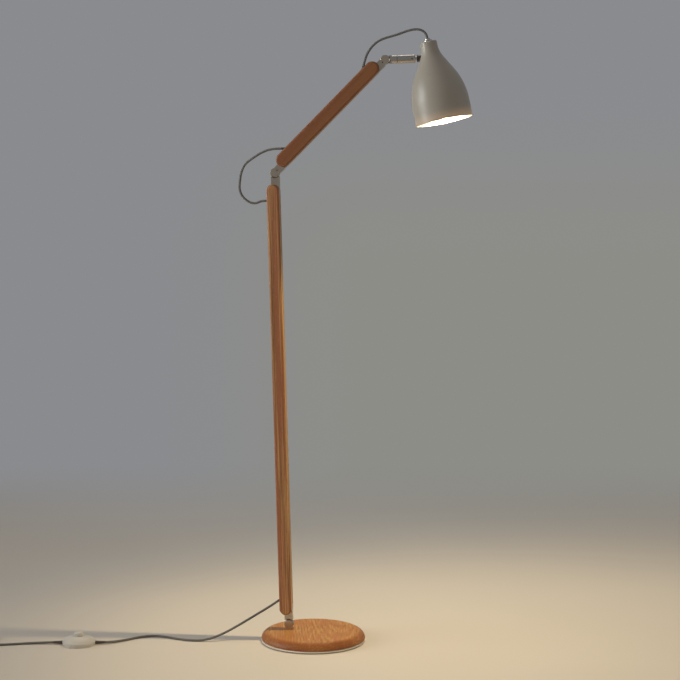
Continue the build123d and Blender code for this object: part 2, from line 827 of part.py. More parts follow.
# Foot switch: base, domed cover with a seam and a flex hole each side, button and switch module
switch_angle = math.radians(switch_turn)
switch_dir = Vector(math.cos(switch_angle), math.sin(switch_angle), 0)
switch_centre = Vector(switch_x, switch_y, 0)
switch_plane = Plane(origin=switch_centre, x_dir=switch_dir, z_dir=(0, 0, 1))
switch_axis = Axis(switch_centre, (0, 0, 1))
switch_section = Plane(origin=switch_centre, x_dir=switch_dir, z_dir=-switch_plane.y_dir)
entry_reach = switch_radius - switch_wall
button_hole = button_radius + button_gap
button_top = switch_height + button_rise
flange_top = switch_height - switch_wall - seat_gap
with BuildPart() as switch_base:
    with BuildSketch(switch_plane):
        Circle(switch_radius - switch_wall - seat_gap)
    extrude(amount=switch_base_thickness)
finish(switch_base.part, "switch_base")
with BuildPart() as switch_cover:
    with BuildSketch(switch_section):
        with BuildLine():
            crown_in = button_hole + switch_wall
            inner_rim = switch_radius - switch_wall
            inner_top = switch_height - switch_wall
            seam_floor = switch_radius - seam_depth
            seam_top = seam_height + seam_width
            outer_wall = Polyline(
                (inner_rim, 0),
                (switch_radius, 0),
                (switch_radius, seam_height),
                (seam_floor, seam_height),
                (seam_floor, seam_top),
                (switch_radius, seam_top),
                (switch_radius, switch_rim),
            )
            outer_dome = TangentArc((crown_in, switch_height), outer_wall @ 1, tangent=(1, 0))
            inner_dome = TangentArc((crown_in, inner_top), (inner_rim, switch_inner_rim), tangent=(1, 0))
            Polyline(outer_dome @ 0, (button_hole, switch_height), (button_hole, inner_top), inner_dome @ 0)
            Line(inner_dome @ 1, outer_wall @ 0)
        make_face()
    revolve(axis=switch_axis)
    for sign in (1, -1):
        entry = switch_centre + switch_dir * (sign * switch_radius) + Vector(0, 0, flex_entry_height)
        with BuildSketch(Plane(origin=entry, z_dir=switch_dir * sign)):
            Circle(flex_radius + fit)
        extrude(amount=-2 * switch_wall, mode=Mode.SUBTRACT)
finish(switch_cover.part, "switch_cover")
module_top = flange_top - button_flange_thickness - button_travel - running
with BuildPart() as switch_button:
    with BuildSketch(switch_section):
        with BuildLine():
            flange_radius = button_radius + button_flange
            flange_base = flange_top - button_flange_thickness
            side = Line((button_radius, flange_top), (button_radius, button_top - button_rise / 2))
            crown_arc = TangentArc(side @ 1, (button_crown_radius, button_top), tangent=(0, 1))
            Polyline(
                crown_arc @ 1,
                (0, button_top),
                (0, flange_base),
                (flange_radius, flange_base),
                (flange_radius, flange_top),
                side @ 0,
            )
        make_face()
    revolve(axis=switch_axis)
finish(switch_button.part, "switch_button")
with BuildPart() as switch_module:
    with BuildSketch(switch_plane.offset(switch_base_thickness)):
        Rectangle(module_length, module_width)
    extrude(amount=module_top - switch_base_thickness)
finish(switch_module.part, "switch_module")

# Put-away coil: in on the lower layer, up a layer where the spiral reverses, out on the upper layer
coil_low = flex_radius + tie_thickness + tie_gap
coil_high = coil_low + coil_layer
coil_middle = coil_turns / 2


def coil_point(turn):
    """Point on the coil's centre line after this many turns."""
    angle = -math.pi / 2 - 2 * math.pi * turn
    radius = coil_outer_radius - coil_pitch * min(turn, coil_turns - turn)
    climb = min(max((turn - coil_middle) / coil_climb + 0.5, 0), 1)
    rise = (1 - math.cos(math.pi * climb)) / 2
    height = coil_low + (coil_high - coil_low) * rise
    return Vector(coil_x + radius * math.cos(angle), coil_y + radius * math.sin(angle), height)


def coil_tangent(turn):
    """Direction of the coil's centre line after this many turns."""
    return (coil_point(turn + coil_probe) - coil_point(turn - coil_probe)).normalized()


def biarc_joint(start, start_dir, end, end_dir):
    """Point where two tangent arcs meet between two points with given directions."""
    chord = end - start
    both = start_dir + end_dir
    spread = 2 * (1 - start_dir.dot(end_dir))
    mixed = chord.dot(both)
    reach = (math.sqrt(mixed * mixed + spread * chord.dot(chord)) - mixed) / spread
    return (start + end + (start_dir - end_dir) * reach) * 0.5


coil_steps = round(coil_turns * 4)
coil_start_dir = coil_tangent(0)
coil_end_dir = coil_tangent(coil_turns)
coil_start = coil_point(0) - coil_start_dir * (2 * flex_radius)
coil_end = coil_point(coil_turns) + coil_end_dir * coil_lead_out
with BuildPart() as mains_coil:
    with BuildLine() as coil_route:
        Line(coil_start, coil_point(0))
        for step in range(coil_steps):
            first = step / 4
            last = (step + 1) / 4
            start_dir = coil_tangent(first)
            joint = biarc_joint(coil_point(first), start_dir, coil_point(last), coil_tangent(last))
            opening = TangentArc(coil_point(first), joint, tangent=start_dir)
            TangentArc(joint, coil_point(last), tangent=opening % 1)
        Line(coil_point(coil_turns), coil_end)
    with BuildSketch(Plane(origin=coil_start, z_dir=coil_start_dir)):
        Circle(flex_radius)
    sweep(path=coil_route.line)
finish(mains_coil.part, "mains_coil")

samples = [coil_point(step / 8) for step in range(2 * coil_steps + 1)]
gaps = [(a - b).length for i, a in enumerate(samples) for b in samples[i + len(samples) // 10:]]
coil_gap = min(gaps) - 2 * flex_radius
coil_length = coil_route.wire().length
coil_ideal = math.pi * flex_radius**2 * coil_length
print("coil length", round(coil_length, 1), "least gap", round(coil_gap, 2))
print("coil volume ratio", round(mains_coil.part.volume / coil_ideal, 4))

# Tie round the coil's bundle on the side towards the lamp
tie_crossings = [(coil_point(turn / 4) - Vector(coil_x, coil_y, 0)) for turn in range(3, coil_steps, 4)]
tie_reach = [math.hypot(point.X, point.Y) for point in tie_crossings]
tie_inner = min(tie_reach) - flex_radius - tie_gap
tie_outer = max(tie_reach) + flex_radius + tie_gap
tie_height = coil_high + flex_radius + tie_gap
tie_centre = (coil_x + (tie_inner + tie_outer) / 2, (tie_height + tie_thickness) / 2)
tie_length = tie_outer - tie_inner
with BuildPart() as coil_tie:
    with BuildSketch(Plane.XZ.offset(-coil_y)):
        with Locations(tie_centre):
            RectangleRounded(
                tie_length + 2 * tie_thickness, tie_height + tie_thickness, flex_radius + tie_thickness
            )
            RectangleRounded(tie_length, tie_height - tie_thickness, flex_radius, mode=Mode.SUBTRACT)
    extrude(amount=tie_width / 2, both=True)
finish(coil_tie.part, "coil_tie")

# Two-pin plug at the end of the flex, resting on the floor
plug_plane = Plane(origin=coil_end, x_dir=coil_end_dir.cross(Vector(0, 0, 1)), z_dir=coil_end_dir)
plug_height = 2 * coil_high
with BuildPart() as plug_body:
    with BuildSketch(plug_plane):
        Circle(plug_neck_radius)
    with BuildSketch(plug_plane.offset(plug_neck_length)):
        RectangleRounded(plug_width, plug_height, plug_height / 2 - fit)
    loft()
    with BuildSketch(plug_plane.offset(plug_neck_length)):
        RectangleRounded(plug_width, plug_height, plug_height / 2 - fit)
    extrude(amount=plug_length - plug_neck_length)
    face = plug_body.faces().filter_by(GeomType.PLANE).sort_by(SortBy.AREA)[-1]
    chamfer(face.edges(), plug_edge)
    with BuildSketch(plug_plane.offset(plug_length)):
        with GridLocations(plug_pin_spacing, 0, 2, 1):
            Circle(plug_pin_radius + fit)
    extrude(amount=-plug_pin_root, mode=Mode.SUBTRACT)
finish(plug_body.part, "plug_body")
with BuildPart() as plug_pins:
    with BuildSketch(plug_plane.offset(plug_length - plug_pin_root)):
        with GridLocations(plug_pin_spacing, 0, 2, 1):
            Circle(plug_pin_radius)
    extrude(amount=plug_pin_root + plug_pin_length)
finish(plug_pins.part, "plug_pins")

# Free flex: route points chosen by hand between the exits
post_low_end = post_plane.from_local_coords(Vector(*post_low[1], 0))
post_low_dir = (post_low_end - post_plane.from_local_coords(Vector(*post_low[0], 0))).normalized()
post_high_end = post_plane.from_local_coords(Vector(*post_high[1], 0))
post_high_dir = (post_high_end - post_plane.from_local_coords(Vector(*post_high[0], 0))).normalized()
arm_low_end = arm_plane.from_local_coords(Vector(*arm_low[1], 0))
arm_low_dir = (arm_low_end - arm_plane.from_local_coords(Vector(*arm_low[0], 0))).normalized()
arm_high_end = arm_plane.from_local_coords(Vector(*arm_high[1], 0))
arm_high_dir = (arm_high_end - arm_plane.from_local_coords(Vector(*arm_high[0], 0))).normalized()
grip_end = shade_top - shade_dir * grip_height
switch_entry = switch_centre + switch_dir * entry_reach + Vector(0, 0, flex_entry_height)
switch_exit = switch_centre - switch_dir * entry_reach + Vector(0, 0, flex_entry_height)
head_split = (163.0, 0.0, 1316.1)

elbow_route = [
    post_high_end,
    post_high_end + post_high_dir * elbow_lead_out,
    (-126.0, 0.0, 962.8),
    (-140.0, 0.0, 965.2),
    (-155.5, 0.0, 977.5),
    (-162.0, 0.0, 994.0),
    (-160.5, 0.0, 1012.0),
    (-157.5, 0.0, 1031.0),
    (-149.0, 0.0, 1048.5),
    (-131.0, 0.0, 1061.5),
    (-110.0, 0.0, 1074.5),
    arm_low_end + arm_low_dir * elbow_lead_in,
    arm_low_end,
]
head_arm_route = [
    arm_high_end,
    arm_high_end + arm_high_dir * head_lead_out,
    (119.5, 0.0, 1284.0),
    (131.0, 0.0, 1300.0),
    (148.0, 0.0, 1312.1),
    head_split,
]
head_shade_route = [
    head_split,
    (178.0, 0.0, 1320.1),
    (190.5, 0.0, 1324.2),
    (205.0, 0.0, 1329.3),
    (219.0, 0.0, 1332.3),
    (231.0, 0.0, 1331.8),
    (240.2, 0.5, 1327.2),
    grip_end - shade_dir * grip_lead,
    grip_end,
]
lead_route = [
    post_low_end,
    post_low_end + post_low_dir * mains_lead_out,
    (-128.0, -9.0, 54.0),
    (-164.0, -25.0, 32.5),
    (-200.0, -40.0, 13.5),
    (-232.0, -52.0, 3.2),
    (-264.0, -57.0, flex_radius),
    (-296.0, -50.0, flex_radius),
    (-327.0, -37.0, flex_radius),
    (-356.0, -33.0, flex_radius),
    (-382.0, -47.0, flex_radius),
    (-402.0, -72.0, flex_radius),
    (-420.0, -93.0, 3.2),
    switch_entry + switch_dir * switch_lead,
    switch_entry,
]
tail_route = [
    switch_exit,
    switch_exit - switch_dir * switch_lead,
    (-588.0, -135.0, 3.0),
    (-618.0, -144.0, flex_radius),
    (-650.0, -158.0, flex_radius),
    (-684.0, -169.0, 2.8),
    coil_start - coil_start_dir * coil_lead_in,
    coil_start,
]
finish(free_cord("elbow_loop", elbow_route), "elbow_loop")
finish(free_cord("head_loop_arm", head_arm_route), "head_loop_arm")
finish(free_cord("head_loop_shade", head_shade_route), "head_loop_shade")
finish(free_cord("mains_lead", lead_route), "mains_lead")
finish(free_cord("mains_tail", tail_route), "mains_tail")
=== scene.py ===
"""Adjustable arm floor lamp: finishes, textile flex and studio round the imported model."""

import json
import logging
import math
from abc import ABC, abstractmethod
from dataclasses import dataclass, field
from enum import Enum
from typing import Callable, Optional, Sequence, Union

import bmesh
import bpy
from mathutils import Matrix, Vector


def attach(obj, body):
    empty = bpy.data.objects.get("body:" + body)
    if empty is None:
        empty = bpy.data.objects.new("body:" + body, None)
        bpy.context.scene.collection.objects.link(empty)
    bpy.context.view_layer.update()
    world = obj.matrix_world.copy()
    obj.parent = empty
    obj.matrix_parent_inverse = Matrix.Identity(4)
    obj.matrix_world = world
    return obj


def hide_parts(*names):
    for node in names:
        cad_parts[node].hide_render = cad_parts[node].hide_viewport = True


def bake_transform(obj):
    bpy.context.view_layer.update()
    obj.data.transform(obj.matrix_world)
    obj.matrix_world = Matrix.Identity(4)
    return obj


log = logging.getLogger("floor_lamp")

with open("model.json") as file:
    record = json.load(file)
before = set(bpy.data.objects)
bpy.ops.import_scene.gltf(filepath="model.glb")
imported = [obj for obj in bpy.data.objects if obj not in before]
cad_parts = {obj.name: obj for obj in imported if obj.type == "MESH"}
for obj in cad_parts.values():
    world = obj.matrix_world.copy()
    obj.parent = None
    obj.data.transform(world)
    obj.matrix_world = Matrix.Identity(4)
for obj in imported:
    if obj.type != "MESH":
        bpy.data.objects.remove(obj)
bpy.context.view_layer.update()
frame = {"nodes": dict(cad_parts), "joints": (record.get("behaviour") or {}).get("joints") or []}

MM = 0.001
UP = Vector((0, 0, 1))
Socket = bpy.types.NodeSocket
Number = Union[float, Socket]
Direction = Union[Vector, Socket]
Place = tuple[float, float, float]
Colour = tuple[float, float, float]
Tint = Union[Colour, Socket]


class Body(Enum):
    """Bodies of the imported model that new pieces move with."""

    BASE = "base"
    POST = "post"
    ARM = "arm"
    BRACKET = "bracket"
    HEAD = "head"


class Joint(Enum):
    """Joints whose places the scene reads."""

    BASE_TILT = "base_tilt"
    ELBOW = "elbow"
    HEAD_TILT = "head_tilt"


class Slot(Enum):
    """Material slots of the record."""

    FLEX = "flex"
    RUBBER = "rubber"
    HOLDER = "holder_black"
    PLUG = "plug_black"


class Stretch(Enum):
    """Stretches of the flex, by the names of their pieces."""

    ELBOW = "elbow_flex"
    HEAD_ARM = "head_flex_arm"
    HEAD_SHADE = "head_flex_shade"
    LEAD = "mains_flex_lead"
    TAIL = "mains_flex_tail"


class FarEnd(Enum):
    """What a stretch of the flex ends in."""

    OBJECT = "object"
    FITTING = "fitting"
    PLUG = "plug"


class Lay(Enum):
    """How a stretch of the flex lies."""

    HANGING = "hanging"
    LOOSE = "loose"
    COILED = "coiled"


class Stiffness(Enum):
    """How stiff a stretch of the flex is."""

    LIMP = "limp"
    MEDIUM = "medium"


def pivot(joint: Joint) -> Vector:
    """Find a joint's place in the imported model.

    Args:
        joint: The joint to look for.

    Returns:
        Its place in metres.
    """
    return Vector(next(entry["pos_m"] for entry in frame["joints"] if entry["name"] == joint.value))


BASE_PIVOT = pivot(Joint.BASE_TILT)
ELBOW_PIVOT = pivot(Joint.ELBOW)
HEAD_PIVOT = pivot(Joint.HEAD_TILT)
POST_DIR = (ELBOW_PIVOT - BASE_PIVOT).normalized()
ARM_DIR = (HEAD_PIVOT - ELBOW_PIVOT).normalized()


def linear(red: int, green: int, blue: int) -> Colour:
    """Turn a colour written in display values from 0 to 255 into linear ones.

    Args:
        red: Red display value.
        green: Green display value.
        blue: Blue display value.

    Returns:
        The linear colour.
    """
    def one(value: int) -> float:
        """Turn one display value into a linear one."""
        share = value / 255
        return share / 12.92 if share <= 0.04045 else ((share + 0.055) / 1.055) ** 2.4

    return one(red), one(green), one(blue)


class NodeGraph:
    """Node tree with short calls for the nodes that the finishes and the studio share."""

    def __init__(self, tree: bpy.types.NodeTree) -> None:
        """Start from an empty tree.

        Args:
            tree: The node tree of a material or of the world.
        """
        self.tree = tree
        self.tree.nodes.clear()

    def node(self, kind: str, **settings: object) -> bpy.types.Node:
        """Add a node and set its own properties.

        Args:
            kind: The node's type.
            **settings: Properties of the node.

        Returns:
            The new node.
        """
        made = self.tree.nodes.new(kind)
        for key, value in settings.items():
            setattr(made, key, value)
        return made

    def feed(self, target: Socket, value: Union[Number, Vector, Sequence[float]]) -> None:
        """Link a socket to another, or set its constant.

        Args:
            target: The socket to feed.
            value: The other socket or the constant.
        """
        if isinstance(value, bpy.types.NodeSocket):
            self.tree.links.new(value, target)
        else:
            target.default_value = value

    def calc(self, operation: str, *values: Number) -> Socket:
        """Add a math node.

        Args:
            operation: The node's operation.
            *values: Its inputs in order.

        Returns:
            The result.
        """
        made = self.node("ShaderNodeMath", operation=operation)
        for target, value in zip(made.inputs, values):
            self.feed(target, value)
        return made.outputs[0]

    def vector(self, operation: str, *values: Direction) -> bpy.types.Node:
        """Add a vector math node.

        Args:
            operation: The node's operation.
            *values: Its vector inputs in order.

        Returns:
            The node.
        """
        made = self.node("ShaderNodeVectorMath", operation=operation)
        for target, value in zip(made.inputs, values):
            self.feed(target, value)
        return made

    def place(self) -> Socket:
        """Give the point on the surface, in metres in the part's own frame."""
        return self.node("ShaderNodeTexCoord").outputs["Object"]

    def facing(self) -> Socket:
        """Give the surface's normal in the part's own frame."""
        return self.node("ShaderNodeTexCoord").outputs["Normal"]

    def dot(self, vector: Socket, direction: Direction) -> Socket:
        """Give a vector's measure along a direction."""
        return self.vector("DOT_PRODUCT", vector, direction).outputs["Value"]

    def away(self, vector: Socket, origin: Direction) -> Socket:
        """Give a point's offset from another."""
        return self.vector("SUBTRACT", vector, origin).outputs["Vector"]

    def join(self, first: Number, second: Number, third: Number) -> Socket:
        """Make a vector from three numbers.

        Args:
            first: Its first measure.
            second: Its second measure.
            third: Its third measure.

        Returns:
            The vector.
        """
        made = self.node("ShaderNodeCombineXYZ")
        for target, value in zip(made.inputs, (first, second, third)):
            self.feed(target, value)
        return made.outputs["Vector"]

    def noise(self, vector: Socket, scale: float, detail: float = 2.0, rough: float = 0.5) -> Socket:
        """Add a noise texture.

        Args:
            vector: Where to read the noise.
            scale: Cells for each unit of the vector.
            detail: Octaves.
            rough: How strong the finer octaves are.

        Returns:
            The noise, from 0 to 1.
        """
        made = self.node("ShaderNodeTexNoise")
        self.feed(made.inputs["Vector"], vector)
        made.inputs["Scale"].default_value = scale
        made.inputs["Detail"].default_value = detail
        made.inputs["Roughness"].default_value = rough
        return made.outputs["Fac"]

    def spread(
        self, value: Number, low: float, high: float, to_low: float = 0.0, to_high: float = 1.0
    ) -> Socket:
        """Map a range onto another, smoothly and clamped.

        Args:
            value: What to map.
            low: Start of the range.
            high: End of the range.
            to_low: Result at the start.
            to_high: Result at the end.

        Returns:
            The mapped value.
        """
        made = self.node("ShaderNodeMapRange", interpolation_type="SMOOTHSTEP")
        for target, number in zip(made.inputs, (value, low, high, to_low, to_high)):
            self.feed(target, number)
        return made.outputs["Result"]

    def blend(self, share: Number, first: Tint, second: Tint) -> Socket:
        """Mix two colours.

        Args:
            share: Share of the second colour.
            first: First colour.
            second: Second colour.

        Returns:
            The mixed colour.
        """
        made = self.node("ShaderNodeMix", data_type="RGBA")
        self.feed(made.inputs["Factor"], share)
        targets = [socket for socket in made.inputs if socket.type == "RGBA"]
        for target, value in zip(targets, (first, second)):
            self.feed(target, value if isinstance(value, bpy.types.NodeSocket) else (*value, 1.0))
        return next(socket for socket in made.outputs if socket.type == "RGBA")

    def mix(self, share: Number, first: Socket, second: Socket) -> Socket:
        """Mix two shaders.

        Args:
            share: Share of the second shader.
            first: First shader.
            second: Second shader.

        Returns:
            The mixed shader.
        """
        made = self.node("ShaderNodeMixShader")
        for target, value in zip(made.inputs, (share, first, second)):
            self.feed(target, value)
        return made.outputs["Shader"]


class ShaderGraph(NodeGraph):
    """Node tree of one material."""

    def __init__(self, name: str) -> None:
        """Make a node material that holds one principled surface.

        Args:
            name: The material's name.
        """
        self.material = bpy.data.materials.new(name)
        self.material.use_nodes = True
        super().__init__(self.material.node_tree)
        self.surface = self.node("ShaderNodeBsdfPrincipled")
        self.output = self.node("ShaderNodeOutputMaterial")
        self.feed(self.output.inputs["Surface"], self.surface.outputs["BSDF"])

    def bump(self, height: Socket, depth: float, strength: float = 1.0) -> None:
        """Raise the surface by a height from 0 to 1.

        Args:
            height: The height.
            depth: Metres between 0 and 1.
            strength: Share of the effect.
        """
        made = self.node("ShaderNodeBump")
        self.feed(made.inputs["Height"], height)
        made.inputs["Distance"].default_value = depth
        made.inputs["Strength"].default_value = strength
        self.feed(self.surface.inputs["Normal"], made.outputs["Normal"])

    def set(self, **sockets: Union[Number, Sequence[float]]) -> None:
        """Set or link sockets of the surface.

        Args:
            **sockets: Values by socket name, with underscores for spaces.
        """
        for key, value in sockets.items():
            wanted = key.replace("_", " ").lower()
            target = next(s for s in self.surface.inputs if s.name.lower() == wanted)
            self.feed(target, value)


@dataclass(frozen=True)
class Finish(ABC):
    """A surface finish that makes its own material."""

    name: str

    @abstractmethod
    def dress(self, graph: ShaderGraph) -> None:
        """Add the finish's nodes.

        Args:
            graph: The material's nodes, with a plain surface.
        """

    def material(self) -> bpy.types.Material:
        """Make the material the first time that it is asked for.

        Returns:
            The material.
        """
        known = bpy.data.materials.get(self.name)
        if known is not None:
            return known
        graph = ShaderGraph(self.name)
        self.dress(graph)
        return graph.material


@dataclass(frozen=True)
class Oak(Finish):
    """Oiled oak with growth rings, open pores and ray flecks, and where asked painted shade on faces
    that turn away from straight up.

    Attributes:
        grain: Direction of the grain.
        across: Direction across the grain, from the heart of the log.
        heart: A point on the log's heart line.
        ring: Width of one growth ring in metres.
        pale: Colour of the late wood.
        dark: Colour of the early wood.
        red: Colour of the warmer streaks.
        pore: Colour in the open pores.
        rings: How strongly the growth rings show.
        streaks: Streaks for each metre across the grain.
        contrast: How strongly the streaks show.
        crown_shade: Colour of the painted shade on the faces that turn away from straight up, where
            there is one.
        wander: How far the rings wander, in metres.
        fibres: Fibres for each metre across the grain.
        pores: Pores for each metre across the grain.
        rays: Ray flecks for each metre across the grain.
    """

    grain: Vector
    across: Vector
    heart: Vector
    ring: float = 3.4 * MM
    pale: Colour = linear(190, 137, 82)
    dark: Colour = linear(150, 98, 52)
    red: Colour = linear(170, 102, 66)
    pore: Colour = linear(88, 52, 28)
    rings: float = 0.34
    streaks: float = 230.0
    contrast: float = 1.0
    crown_shade: Optional[Colour] = None
    wander: float = 7.0 * MM
    fibres: float = 1500.0
    pores: float = 1350.0
    rays: float = 640.0

    def dress(self, graph: ShaderGraph) -> None:
        """Lay rings, streaks, pores and flecks along the grain.

        Args:
            graph: The material's nodes, with a plain surface.
        """
        grain = self.grain.normalized()
        side = grain.cross(self.across).normalized()
        out = side.cross(grain)
        spot = graph.away(graph.place(), self.heart)
        along = graph.dot(spot, grain)
        outward = graph.dot(spot, out)
        sideways = graph.dot(spot, side)

        def stretched(share: float) -> Socket:
            """Give the point with its measure along the grain cut to a share."""
            return graph.join(graph.calc("MULTIPLY", along, share), outward, sideways)

        wander = graph.noise(stretched(0.16), 34.0, 2.0)
        square = graph.calc("MULTIPLY_ADD", outward, outward, graph.calc("MULTIPLY", sideways, sideways))
        radius = graph.calc("MULTIPLY_ADD", wander, self.wander, graph.calc("SQRT", square))
        phase = graph.calc("FRACT", graph.calc("DIVIDE", radius, self.ring))
        fading = graph.spread(phase, 0.3, 0.72, 1.0, 0.0)
        early = graph.calc("MULTIPLY", graph.spread(phase, 0.0, 0.12), fading)
        streak = graph.noise(stretched(0.018), self.streaks, 3.0, 0.55)
        band = graph.noise(stretched(0.012), 0.58 * self.streaks, 2.0, 0.5)
        fibre = graph.noise(stretched(0.03), self.fibres, 2.0)
        pores = graph.noise(stretched(0.075), self.pores, 1.0)
        in_early = graph.calc("MULTIPLY_ADD", early, 0.75, 0.25)
        open_pore = graph.calc("MULTIPLY", graph.spread(pores, 0.55, 0.66), in_early)
        short, flat = graph.calc("MULTIPLY", along, 0.2), graph.calc("MULTIPLY", outward, 0.5)
        rays = graph.noise(graph.join(short, flat, sideways), self.rays, 1.0)
        streaked = graph.spread(streak, 0.34, 0.66)
        tone = graph.calc(
            "ADD",
            graph.calc("MULTIPLY", early, self.rings),
            graph.calc("MULTIPLY_ADD", streaked, 0.5 * self.contrast, 0.04),
        )
        wood = graph.blend(tone, self.pale, self.dark)
        wood = graph.blend(graph.spread(band, 0.44, 0.58, 0.0, 0.72 * self.contrast), wood, self.red)
        wood = graph.blend(graph.spread(rays, 0.66, 0.78, 0.0, 0.3), wood, self.pale)
        # Painted shade: faces that turn away from straight up are darkened towards the shade colour,
        # more in some patches than in others.
        if self.crown_shade is not None:
            level = graph.dot(graph.facing(), UP)
            patchy_shade = graph.spread(graph.noise(spot, 16.0, 2.0), 0.35, 0.65, 0.55, 1.0)
            flatness = graph.calc("MULTIPLY", level, level)
            slope = graph.calc("SQRT", graph.calc("SUBTRACT", 1.0, flatness))
            edge = graph.calc("MULTIPLY", graph.spread(slope, 0.02, 0.62, 0.0, 0.68), patchy_shade)
            wood = graph.blend(edge, wood, self.crown_shade)
        wood = graph.blend(graph.spread(fibre, 0.35, 0.7, 0.0, 0.1), wood, self.dark)
        wood = graph.blend(graph.calc("MULTIPLY", open_pore, 0.3), wood, self.pore)
        grown = graph.calc("MULTIPLY_ADD", fibre, 0.25, graph.calc("MULTIPLY", tone, -0.2))
        height = graph.calc("SUBTRACT", grown, open_pore)
        rough = graph.calc("MULTIPLY_ADD", open_pore, 0.2, graph.spread(streak, 0.2, 0.8, 0.4, 0.52))
        graph.set(base_color=wood, roughness=rough, specular_ior_level=0.4)
        graph.bump(height, 0.05 * MM, 0.35)


@dataclass(frozen=True)
class SatinMetal(Finish):
    """Plated or anodised metal with a fine brushed grain.

    Attributes:
        colour: The metal's colour.
        rough: Mean roughness.
        brush: Direction of the brushing.
        metallic: How far it is bare metal.
        lines: How strongly the brushing shows.
        fineness: Brush lines for each metre.
    """

    colour: Colour
    rough: float = 0.3
    brush: Vector = UP
    metallic: float = 1.0
    lines: float = 0.1
    fineness: float = 4200.0

    def dress(self, graph: ShaderGraph) -> None:
        """Streak the roughness along the brushing and cloud it a little.

        Args:
            graph: The material's nodes, with a plain surface.
        """
        place = graph.place()
        along = self.brush.normalized()
        side = along.orthogonal().normalized()
        third = along.cross(side)
        drawn = graph.calc("MULTIPLY", graph.dot(place, along), 0.04)
        brushed = graph.join(drawn, graph.dot(place, side), graph.dot(place, third))
        lines = graph.noise(brushed, self.fineness, 2.0)
        cloud = graph.noise(place, 55.0, 1.0)
        soft = graph.calc("MULTIPLY_ADD", cloud, 0.08, graph.calc("MULTIPLY", lines, self.lines))
        darker = tuple(0.9 * part for part in self.colour)
        graph.set(
            base_color=graph.blend(graph.spread(cloud, 0.3, 0.7, 0.0, 0.8), self.colour, darker),
            metallic=self.metallic,
            roughness=graph.calc("ADD", soft, self.rough - 0.04 - 0.5 * self.lines),
        )
        graph.bump(lines, 0.003 * MM, 3 * self.lines)


@dataclass(frozen=True)
class Coating(Finish):
    """Paint, rubber or moulded plastic with a fine skin texture.

    Attributes:
        colour: The main colour.
        rough: Mean roughness.
        grain: Size of the skin's texture in metres.
        depth: Height of the skin's texture in metres.
        mottle: How much the tone drifts.
    """

    colour: Colour
    rough: float = 0.42
    grain: float = 0.7 * MM
    depth: float = 0.02 * MM
    mottle: float = 0.08

    def dress(self, graph: ShaderGraph) -> None:
        """Add the skin's fine texture, a slow drift of tone and uneven gloss.

        Args:
            graph: The material's nodes, with a plain surface.
        """
        place = graph.place()
        skin = graph.noise(place, 1 / self.grain, 2.0)
        drift = graph.noise(place, 18.0, 3.0)
        shaded = tuple((1 - self.mottle) * part for part in self.colour)
        graph.set(
            base_color=graph.blend(graph.spread(drift, 0.25, 0.75), self.colour, shaded),
            roughness=graph.spread(drift, 0.2, 0.8, self.rough - 0.05, self.rough + 0.06),
        )
        graph.bump(skin, self.depth, 0.5)


@dataclass(frozen=True)
class ShadePaint(Finish):
    """Satin grey outside and white inside, told apart by which way the wall faces, with a painted glow
    on the outer face near the mouth.

    Attributes:
        centre: A point on the shade's axis.
        axis: Direction of the shade's axis.
        outside: Colour of the outer face.
        inside: Colour of the inner face.
        mouth: Length of the shade from the centre point to its mouth, in metres.
        glow: Colour of the painted glow on the outer face round the mouth's edge, standing in for the
            lamp's light there.
        painted_glow_reach: How far up the outer face the painted glow reaches.
        painted_glow_power: Strength of the painted glow at the edge.
    """

    centre: Vector
    axis: Vector
    outside: Colour = linear(171, 163, 149)
    inside: Colour = linear(238, 236, 230)
    mouth: float = 170.0 * MM
    glow: Colour = (1.0, 0.55, 0.2)
    painted_glow_reach: float = 24.0 * MM
    painted_glow_power: float = 0.11

    def dress(self, graph: ShaderGraph) -> None:
        """Paint the two faces and add the skin of a sprayed coat.

        Args:
            graph: The material's nodes, with a plain surface.
        """
        axis = self.axis.normalized()
        offset = graph.away(graph.place(), self.centre)
        down = graph.dot(offset, axis)
        on_axis = graph.vector("SCALE", axis)
        graph.feed(on_axis.inputs["Scale"], down)
        radial = graph.away(offset, on_axis.outputs["Vector"])
        spoke = graph.dot(radial, graph.facing())
        top_face = graph.spread(graph.dot(graph.facing(), axis), -0.9, -0.8, 1.0, 0.0)
        outer = graph.calc("MAXIMUM", graph.spread(spoke, -0.4 * MM, 0.4 * MM), top_face)
        place = graph.place()
        drift = graph.noise(place, 14.0, 3.0)
        skin = graph.noise(place, 1500.0, 2.0)
        # Painted glow: the outer face emits warm light towards the mouth, as if lit by the lamp round
        # its edge.
        lit = graph.spread(down, self.mouth - self.painted_glow_reach, self.mouth, 0.0, self.painted_glow_power)
        shaded = tuple(0.93 * part for part in self.outside)
        coat = graph.blend(graph.spread(drift, 0.25, 0.75), self.outside, shaded)
        graph.set(
            base_color=graph.blend(outer, self.inside, coat),
            roughness=graph.spread(drift, 0.2, 0.8, 0.33, 0.4),
            specular_ior_level=0.5,
            emission_color=(*self.glow, 1.0),
            emission_strength=graph.calc("MULTIPLY", outer, lit),
        )
        graph.bump(skin, 0.02 * MM, 0.4)


